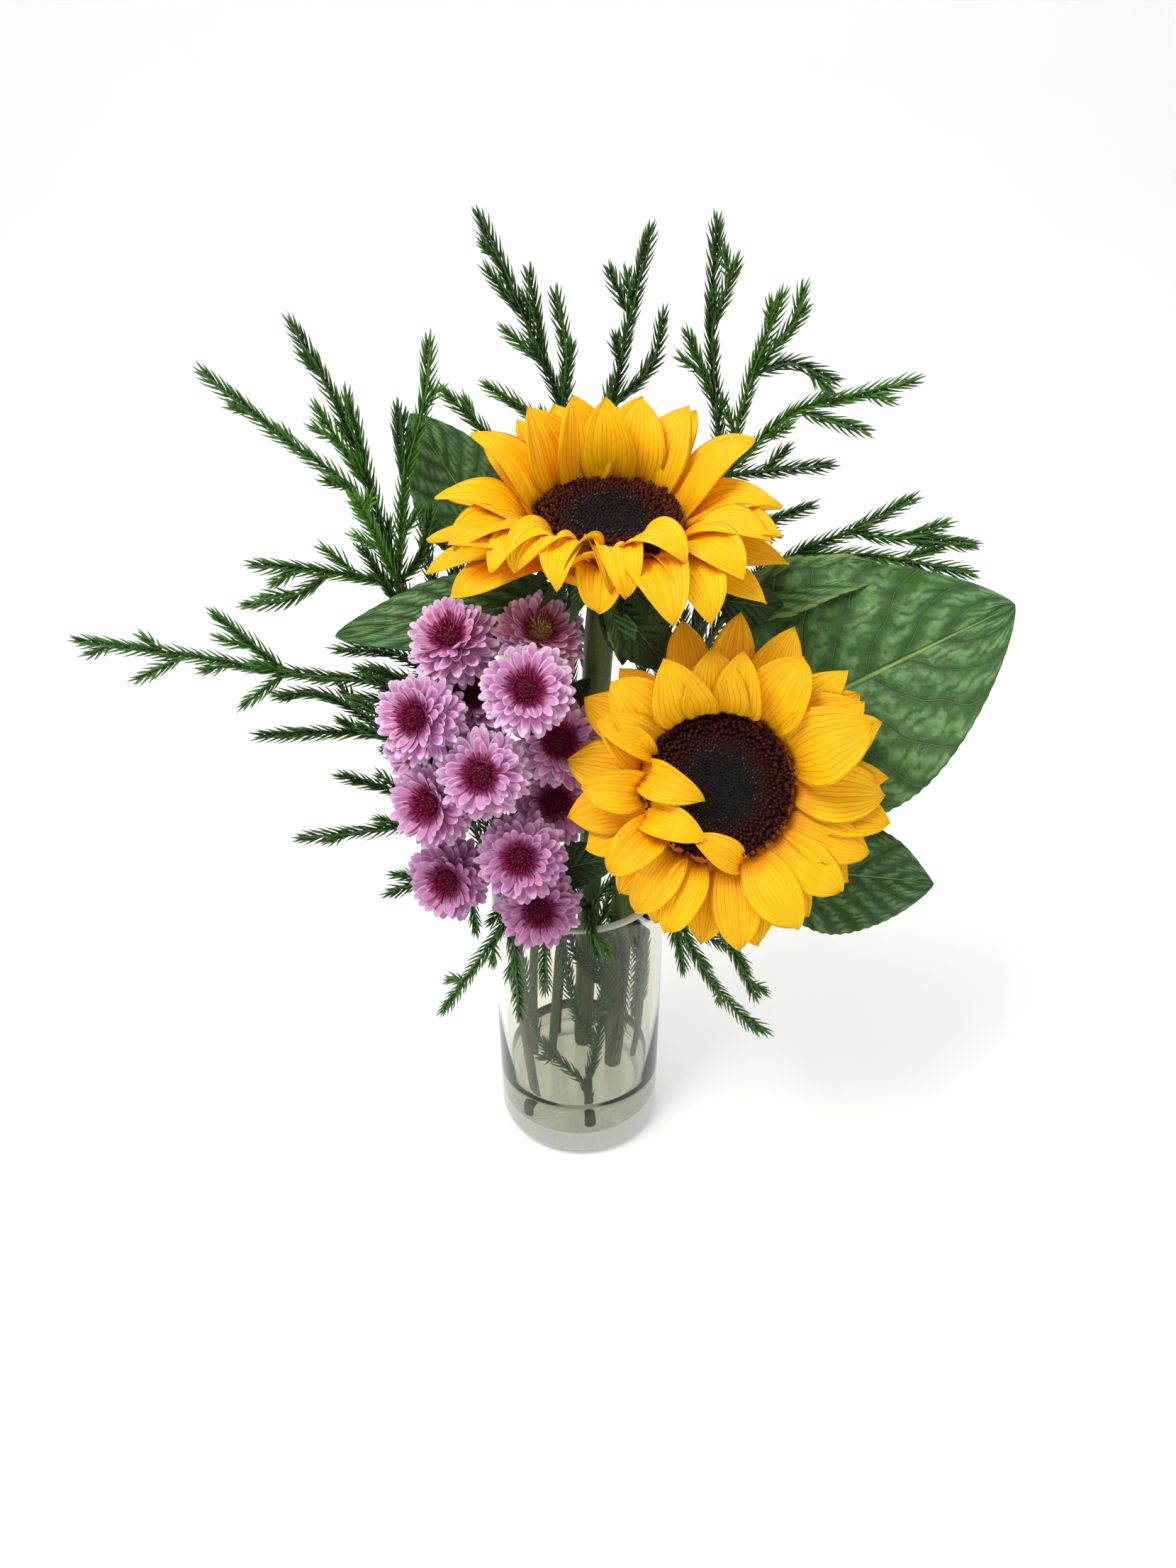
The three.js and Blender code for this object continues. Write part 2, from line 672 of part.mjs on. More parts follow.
const BACK_SPRAY = {
  radius: 2.1,
  stem: [[-12, 26, STEM_FOOT], [-12, 26, 26], [-8, 29, 90], [-4, 30, 150], [-4, 42, 220],
    [0, 56, 285], [2, 60, 320]],
  twigs: [
    [[2, 60, 320], [-6, 60, 345], [-13, 60, 363], [-20, 60, 381], [-36, 62, 418]],
    [[-20, 60, 381], [-34, 64, 398]],
    [[-13, 60, 363], [-18, 56, 398]],
    [[-13, 60, 363], [-28, 62, 375]],
    [[-6, 60, 345], [-4, 56, 366], [-8, 55, 391]],
    [[2, 60, 320], [-18, 58, 342], [-36, 57, 355]],
    [[0, 56, 285], [-20, 54, 314], [-36, 52, 336], [-53, 52, 354]],
    [[2, 60, 320], [14, 60, 346], [21, 60, 381], [28, 61, 413]],
    [[21, 60, 381], [13, 64, 398]],
    [[14, 60, 346], [30, 60, 362], [34, 58, 382]],
  ],
};

const RIGHT_SPRAY = {
  radius: 2.2,
  stem: [[16, 25, STEM_FOOT], [16, 25, 26], [22, 22, 90], [28, 18, 150], [44, 34, 220],
    [60, 52, 290], [62, 55, 318]],
  twigs: [
    [[62, 55, 318], [57, 57, 345], [53, 57, 376], [53, 58, 416]],
    [[53, 57, 376], [61, 56, 402]],
    [[57, 57, 345], [44, 62, 374]],
    [[62, 55, 318], [70, 54, 360], [79, 52, 391]],
    [[70, 54, 360], [88, 50, 386]],
    [[70, 54, 360], [84, 49, 366], [101, 45, 361]],
    [[62, 55, 318], [88, 47, 348], [108, 43, 355], [131, 40, 362]],
    [[88, 47, 348], [114, 38, 343]],
    [[62, 55, 318], [84, 46, 324], [102, 38, 329]],
    [[60, 52, 290], [80, 40, 304], [95, 32, 314]],
    [[44, 34, 220], [66, 34, 268], [90, 26, 296], [109, 20, 308], [131, 17, 323]],
    [[109, 20, 308], [128, 12, 309], [145, 12, 315]],
    [[128, 12, 309], [154, 8, 308]],
    [[90, 26, 296], [120, 14, 300], [155, 3, 298]],
  ],
};

const CENTRE_SPRAY = {
  radius: 2.4,
  stem: [[5, -27, STEM_FOOT], [5, -27, 26], [4, -26, 40]],
  twigs: [
    [[4, -26, 38], [9, -19, 62], [12, -14, 94], [9, -24, 136], [5, -31, 156], [6, -43, 153],
      [9, -46, 141]],
    [[4, -26, 38], [-8, -22, 50], [-18, -21, 65]],
    [[12, -14, 94], [3, -24, 124]],
  ],
};

const RIM_SPRAY = {
  radius: 1.9,
  stem: [[30, 8, STEM_FOOT], [30, 8, 26], [32, 1, 90], [31, -9, 146], [35, -17, 158]],
  twigs: [
    [[35, -17, 158], [43, -29, 150], [60, -32, 114], [84, -31, 80]],
    [[43, -29, 150], [47, -38, 126]],
    [[43, -29, 150], [66, -28, 130]],
    [[31, -9, 146], [44, -12, 158], [58, -17, 144], [72, -19, 118], [84, -20, 91]],
    [[58, -17, 144], [83, -14, 126]],
  ],
};

// A twig: a three-sided core that turns a little at each step, so that the needles on its
// faces wind round it. A needle is a long pyramid that leans towards the tip. The root and
// sharp bends are bare.
// Each twig of a spray is turned a little further and rooted a little deeper than the last.
function twigBody(points, number) {
  const start = vector(points[0]);
  const back = start.clone().sub(vector(points[1])).setLength(0.6 + 0.25 * (number % 4));
  const route = routeOf([start.add(back).toArray(), ...points.slice(1)]);
  const steps = Math.max(2, Math.round(route.getLength() / TWIG_STEP));
  const frames = route.computeFrenetFrames(steps);
  const vertices = [];
  const centres = [];
  for (let step = 0; step <= steps; step += 1) {
    const centre = route.getPointAt(step / steps);
    centres.push(centre);
    const radius = (TWIG_RADIUS + 0.06 * (number % 3)) * (1 - (0.35 * step) / steps);
    for (let corner = 0; corner < 3; corner += 1) {
      const angle = (2 * Math.PI * corner) / 3 + TWIG_TURN * step + 0.7 * number;
      const point = centre.clone();
      point.addScaledVector(frames.normals[step], radius * Math.cos(angle));
      vertices.push(point.addScaledVector(frames.binormals[step], radius * Math.sin(angle)));
    }
  }
  const triangles = [[0, 2, 1]];
  for (let step = 0; step < steps; step += 1) {
    const taper = 1 - 0.25 * (step / steps);
    const bend = Math.max(
      frames.tangents[step].angleTo(frames.tangents[step + 1]),
      frames.tangents[step + 1].angleTo(frames.tangents[Math.min(step + 2, steps)]),
    );
    for (let corner = 0; corner < 3; corner += 1) {
      const near = 3 * step + corner;
      const nearNext = 3 * step + ((corner + 1) % 3);
      const far = near + 3;
      const farNext = nearNext + 3;
      if (step === 0 || bend > SHARP_BEND) {
        triangles.push([near, nearNext, farNext], [near, farNext, far]);
      } else {
        const middle = new THREE.Vector3();
        for (const index of [near, nearNext, far, farNext]) {
          middle.addScaledVector(vertices[index], 0.25);
        }
        const forward = frames.tangents[step + 1];
        const halfway = centres[step].clone().lerp(centres[step + 1], 0.5);
        const outward = middle.sub(halfway);
        outward.addScaledVector(forward, -outward.dot(forward)).normalize();
        const apex = centres[step + 1].clone();
        apex.addScaledVector(forward, NEEDLE_AHEAD * taper);
        apex.addScaledVector(outward, NEEDLE_OUT * taper);
        const top = vertices.push(apex) - 1;
        triangles.push([near, nearNext, top], [nearNext, farNext, top]);
        triangles.push([farNext, far, top], [far, near, top]);
      }
    }
  }
  const end = 3 * steps;
  const forward = frames.tangents[steps];
  const tip = vertices.push(centres[steps].clone().addScaledVector(forward, NEEDLE_AHEAD)) - 1;
  triangles.push([end, end + 1, tip], [end + 1, end + 2, tip], [end + 2, end, tip]);
  return { points: vertices, triangles };
}

// The end of the woody stem is a knot that its twigs grow out of
function knotBody(centre, radius) {
  const knot = new THREE.IcosahedronGeometry(radius, 0);
  knot.translate(...centre);
  return bodyOf(knot);
}

function cedarSpray({ radius, stem, twigs }) {
  const knot = knotBody(stem[stem.length - 1], radius * 1.5);
  return joined([stemBody(stem, radius, 6, 16), knot, ...twigs.map(twigBody)]);
}

// ---------------------------------------------------------------------------------------
// The whole bouquet
// ---------------------------------------------------------------------------------------

const LOOKS = {
  glass: { color: 0xcdd8cf, roughness: 0.03, transparent: true, opacity: 0.35 },
  water: { color: 0xc4dcea, roughness: 0.02, transparent: true, opacity: 0.45 },
  green: { color: 0x3f6a3a, roughness: 0.6 },
  petal: { color: 0xffc60a, roughness: 0.55 },
  disc: { color: 0x2a120c, roughness: 0.9 },
  mumPetal: { color: 0xd697cb, roughness: 0.6 },
  mumEye: { color: 0x7a1648, roughness: 0.8 },
  cedar: { color: 0x1d4d1a, roughness: 0.55 },
};

const bouquet = new THREE.Group();

function addPiece(parent, name, solid, look) {
  const { vertProperties, triVerts } = solid.getMesh();
  const geometry = new THREE.BufferGeometry();
  geometry.setAttribute('position', new THREE.BufferAttribute(vertProperties, 3));
  geometry.setIndex(new THREE.BufferAttribute(triVerts, 1));
  geometry.computeVertexNormals();
  const material = new THREE.MeshStandardMaterial({ metalness: 0, ...LOOKS[look] });
  const mesh = new THREE.Mesh(geometry, material);
  mesh.name = name;
  parent.add(mesh);
}

// A group that carries a head's own frame to its place
function headGroup(head) {
  const group = new THREE.Group();
  headMatrix(head).decompose(group.position, group.quaternion, group.scale);
  bouquet.add(group);
  return group;
}

addPiece(bouquet, 'vase', solidOf(vaseBody()), 'glass');
addPiece(bouquet, 'water', waterSolid([
  { points: UPPER_STEM, radius: SUNFLOWER_STEM_RADIUS },
  { points: LOWER_STEM, radius: SUNFLOWER_STEM_RADIUS },
  ...MUM_SPRAYS.map(({ stem }) => ({ points: stem, radius: MUM_STEM_RADIUS })),
  ...[LEFT_SPRAY, BACK_SPRAY, RIGHT_SPRAY, CENTRE_SPRAY, RIM_SPRAY].map(({ stem, radius }) => (
    { points: stem, radius }
  )),
]), 'water');

addPiece(bouquet, 'sunflower_upper_stem', upperStem(), 'green');
addPiece(bouquet, 'sunflower_lower_stem', lowerStem(), 'green');
const upperHead = headGroup(UPPER_HEAD);
addPiece(upperHead, 'sunflower_upper_petals', upperPetals(), 'petal');
addPiece(upperHead, 'sunflower_upper_disc', discSolid(), 'disc');
const lowerHead = headGroup(LOWER_HEAD);
addPiece(lowerHead, 'sunflower_lower_petals', lowerPetals(), 'petal');
addPiece(lowerHead, 'sunflower_lower_disc', discSolid(), 'disc');

MUM_SPRAYS.forEach((spray, index) => {
  addPiece(bouquet, `mum_stem_${index + 1}`, mumStem(spray), 'green');
  for (const head of spray.heads) {
    const group = headGroup(head);
    addPiece(group, `${head.name}_petals`, mumPetals(), 'mumPetal');
    addPiece(group, `${head.name}_eye`, mumEye(), 'mumEye');
  }
});

addPiece(bouquet, 'cedar_left', cedarSpray(LEFT_SPRAY), 'cedar');
addPiece(bouquet, 'cedar_back', cedarSpray(BACK_SPRAY), 'cedar');
addPiece(bouquet, 'cedar_right', cedarSpray(RIGHT_SPRAY), 'cedar');
addPiece(bouquet, 'cedar_centre', cedarSpray(CENTRE_SPRAY), 'cedar');
addPiece(bouquet, 'cedar_rim', cedarSpray(RIM_SPRAY), 'cedar');

export default bouquet;
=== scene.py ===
"""Sunflowers, chrysanthemums and cedar sprays in a glass vase.

Laid out as a Blender add-on and run as a script. Metres, +Z up: the origin is the middle of
the vase's underside and -Y is the side that the flowers face. Routes and heads are written in
millimetres and scaled where a mesh is made.
"""

import math

import bpy
import numpy as np
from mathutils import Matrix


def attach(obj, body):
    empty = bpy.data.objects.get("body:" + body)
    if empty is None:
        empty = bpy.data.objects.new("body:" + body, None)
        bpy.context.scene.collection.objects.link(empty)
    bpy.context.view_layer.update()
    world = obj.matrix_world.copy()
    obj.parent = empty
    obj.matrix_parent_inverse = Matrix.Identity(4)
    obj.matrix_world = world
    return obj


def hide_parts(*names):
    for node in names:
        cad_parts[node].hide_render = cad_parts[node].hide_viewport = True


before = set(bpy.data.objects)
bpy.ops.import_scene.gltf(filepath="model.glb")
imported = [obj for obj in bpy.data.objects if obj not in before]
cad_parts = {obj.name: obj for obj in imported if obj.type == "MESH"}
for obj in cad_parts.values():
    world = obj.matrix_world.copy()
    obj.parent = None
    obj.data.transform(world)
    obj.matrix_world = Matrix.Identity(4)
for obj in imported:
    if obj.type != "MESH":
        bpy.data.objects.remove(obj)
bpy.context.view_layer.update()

bl_info = {
    "name": "Sunflowers in a Vase",
    "version": (1, 0, 0),
    "blender": (4, 5, 0),
    "location": "View3D > Sidebar > Bouquet",
    "description": "Builds a bouquet of sunflowers, chrysanthemums and cedar in a glass vase",
    "category": "Add Mesh",
}

MM = 0.001
GOLDEN_ANGLE = math.pi * (3 - math.sqrt(5))

# ---------------------------------------------------------------------------------------
# The bouquet's own lines, in millimetres
# ---------------------------------------------------------------------------------------

# Vase: the rounding where its floor meets its wall, the height that the stems stand at, and
# how far the water reaches into the glass
VASE_INNER_FILLET = 2.5
STEM_FOOT = 15.3
WATER_OVERLAP = 0.05

# Sunflower heads, in each head's own frame: the disc's rim is at height 0 and faces +Z, the
# petals grow from a thin plate behind it, the single ones from one radius and height, and the
# calyx closes the back
DISC_RADIUS = 28.0
DISC_DOME = 3.0
DISC_DEPTH = 5.0
PLATE_RADIUS = 32.0
PLATE_HEIGHTS = (-9.3, -5.3)
SINGLE_ROOT = (30.0, -3.0)
CALYX_TOP = -9.6
CALYX_DEPTH = 14.0
BRACTS = 16
SUNFLOWER_STEM_RADIUS = 4.6
SUNFLOWER_NECK_RADIUS = 6.2

# Chrysanthemums: how far a head's back lies behind its centre, the straight end of its twig,
# the quills of an eye, and how yellow-green the eyes of the fresh heads are
MUM_STEM_RADIUS = 2.1
MUM_TWIG_RADIUS = 1.1
MUM_BACK = 6.0
MUM_NECK = 8.0
MUM_QUILLS = 110
MUM_FRESHNESS = {"mum_01": 0.3, "mum_02": 0.8}

# Leaves: the petiole's radius and how far along the blade it runs, rows and columns for each
# millimetre of width with the least and the most of them, the height of the cushions as a
# share of the width, and the midrib
PETIOLE_RADIUS = 1.5
PETIOLE_REACH = 0.1
LEAF_ROWS = (1.9, 40, 170)
LEAF_COLUMNS = (0.6, 17, 57)
LEAF_PUFF = 0.024
RIB_WIDTH, RIB_HEIGHT = 2.4, 0.9

# Side veins: how many, and how far and by which power of across they lean to the tip
VEINS = 7.5
VEIN_LEAN = 2.3
VEIN_POWER = 0.85

# Cedar twigs: the radii of a twig's core at its root and its tip, how far from its middle the
# needles start, the turn from one needle to the next, and the side twigs' spacing, lengths and
# angles in degrees
TWIG_RADII = (0.8, 0.35)
NEEDLE_ROOT = 0.5
NEEDLE_TURN = 0.8 * math.pi
SIDE_TWIG_SPACING = 23
SIDE_TWIG_LENGTHS = (9, 17)
SIDE_TWIG_ANGLES = (32, 46)

GLASS_IOR, WATER_IOR = 1.5, 1.33
WHITE = (1.0, 1.0, 1.0, 1.0)

# The stage, in metres: the floor with a backdrop that rises in a quarter circle, the point
# that the lights face, each light's size and place, and the camera's place, its angle from
# straight down in degrees and its sensor's width in millimetres
FLOOR_FRONT, FLOOR_BACK, FLOOR_HALF_WIDTH = -3.0, 1.2, 3.5
BACKDROP_RADIUS, BACKDROP_HEIGHT = 0.8, 4.0
FLOOR_GLOW = 0.16
WORLD_STRENGTH = 0.6
LIGHT_TARGET = (0, 0, 0.24)
LIGHTS = {
    "key": (0.6, (-0.55, -0.45, 1.45)),
    "fill": (1.2, (0.95, -0.7, 0.8)),
    "back": (0.9, (0.1, 1.1, 1.2)),
}
CAMERA_PLACE = (0.0046, -0.444, 0.507)
CAMERA_TILT = 55.3
CAMERA_SENSOR = 36

# The seed of the first piece of each kind, for its random draws
PETAL_SEED, DISC_SEED, MUM_PETAL_SEED, MUM_EYE_SEED, CEDAR_SEED = 11, 21, 100, 200, 300

UPPER_HEAD = ((12, -5, 324), (0, -0.17, 0.985))
LOWER_HEAD = ((54, -60, 240), (-0.06, -0.81, 0.58))

UPPER_STEM = [
    (2, 20, STEM_FOOT), (2, 20, 26), (4, 16, 90), (6, 12, 150), (7, 5, 215), (9, 0, 270),
    (12, -2, 303), (12, -3.5, 312),
]
LOWER_STEM = [
    (18, 4, STEM_FOOT), (18, 4, 26), (19, -4, 90), (21, -13, 150), (27, -17, 190), (40, -30, 218),
    (53.5, -48, 231),
]

# Each leaf: the points of its petiole, its tip, the way it faces, its width, arch, fold and
# wave, the number of its teeth and its tint, which sets its painted shade: the lower the
# tint, the nearer it is painted to the colour of a leaf in the shade
UPPER_LEAVES = {
    "left": ([(8, 3, 240), (4, 9, 264), (-5, 9, 284)], (-96, -6, 275), (-0.1, -0.82, 0.57),
             32, 5, 0.12, 1.5, 18, 0.6),
    "back": ([(8, 3, 240), (-6, 24, 270), (-30, 33, 292)], (-66, 44, 348), (0.1, -0.9, 0.3),
             42, 5, 0.1, 1.5, 16, 0.6),
    "small": ([(9.5, -1, 277), (10, -9, 288), (11, -14, 297)], (35, -20, 268), (0.2, -0.75, 0.6),
              27, 4, 0.2, 1, 11, 0.1),
    "bud": ([(9, -2, 284), (11, -13, 291), (13, -20, 294)], (18, -26, 273), (0.5, -0.75, 0.3),
            13, 2, 0.5, 0.5, 7, 0.9),
}
LOWER_LEAVES = {
    "right": ([(24, -15, 172), (46, -4, 196), (66, -2, 222)],
              (170, -10, 291), (-0.3, -0.85, 0.45), 104, 9, 0.12, 3, 26, 0.7),
    "lower_right": ([(22, -14, 160), (56, -26, 172), (82, -36, 180)],
                    (147, -48, 183), (0.1, -0.7, 0.7), 50, 6, 0.1, 2, 18, 0.5),
    "folded": ([(27, -17, 190), (44, -2, 240), (60, 6, 276)], (126, 10, 296), (-0.1, -0.5, 0.85),
               26, 7, 0.35, 1, 16, 0.9),
    "dark": ([(27, -17, 190), (41, -8, 238), (50, -2, 272), (56, 0, 288)],
             (84, -3, 284), (0, -0.8, 0.6), 17, 3, 0.1, 0.5, 10, 0.05),
}
MUM_LEAVES = {
    "low": ([(-7, -17, 150), (-9, -22, 162), (-10, -26, 172)], (19, -31, 184), (0, -0.75, 0.65),
            20, 3, 0.1, 0.5, 8, 0.05),
    "middle": ([(-11, -16, 190), (-14, -12, 200), (-18, -10, 208)],
               (-46, -20, 236), (0.2, -0.8, 0.5), 15, 3, 0.15, 1, 7, 0.1),
    "high": ([(-14, -14, 225), (-10, -8, 232), (-4, -6, 238)], (6, -16, 262), (-0.3, -0.8, 0.5),
             14, 3, 0.15, 1, 7, 0.1),
}

# Each spray: its stem, its heads and its leaves. Each head: name, centre, the way it faces,
# the number of the stem's point where its twig starts, and a point that the twig passes
MUM_SPRAYS = [
    (
        [
            (-14, 8, STEM_FOOT), (-14, 8, 26), (-10, -4, 90), (-7, -17, 150), (-11, -16, 190),
            (-14, -14, 225), (-16, -13, 250),
        ],
        [
            ("mum_02", (-14, -18, 282), (0.15, -0.45, 0.88), 6, None),
            ("mum_03", (-18, -46, 274), (0, -0.8, 0.6), 6, (-22, -26, 259)),
            ("mum_05", (-36, -52, 240), (-0.1, -0.85, 0.5), 5, None),
            ("mum_06", (-7, -33, 242), (0.15, -0.75, 0.65), 5, None),
            ("mum_08", (-22, -56, 203), (-0.05, -0.9, 0.43), 4, None),
            ("mum_10", (-16, -46, 168), (0.05, -0.92, 0.4), 3, None),
            ("mum_11", (-9, -26, 209), (0.1, -0.85, 0.5), 4, None),
        ],
        MUM_LEAVES,
    ),
    (
        [
            (-24, 10, STEM_FOOT), (-24, 10, 26), (-22, 0, 90), (-20, -8, 150), (-34, -8, 188),
            (-42, -2, 215), (-46, 3, 238),
        ],
        [
            ("mum_01", (-48, -20, 281), (-0.2, -0.45, 0.87), 6, (-50, 3, 257)),
            ("mum_04", (-60, -40, 258), (-0.45, -0.75, 0.5), 6, (-66, -9, 251)),
            ("mum_07", (-57, -46, 222), (-0.45, -0.8, 0.4), 5, None),
            ("mum_09", (-53, -42, 181), (-0.3, -0.9, 0.3), 4, None),
            ("mum_12", (-41, -15, 253), (-0.1, -0.6, 0.8), 6, None),
            ("mum_13", (-63, -16, 229), (-0.6, -0.7, 0.4), 5, None),
        ],
        {},
    ),
]

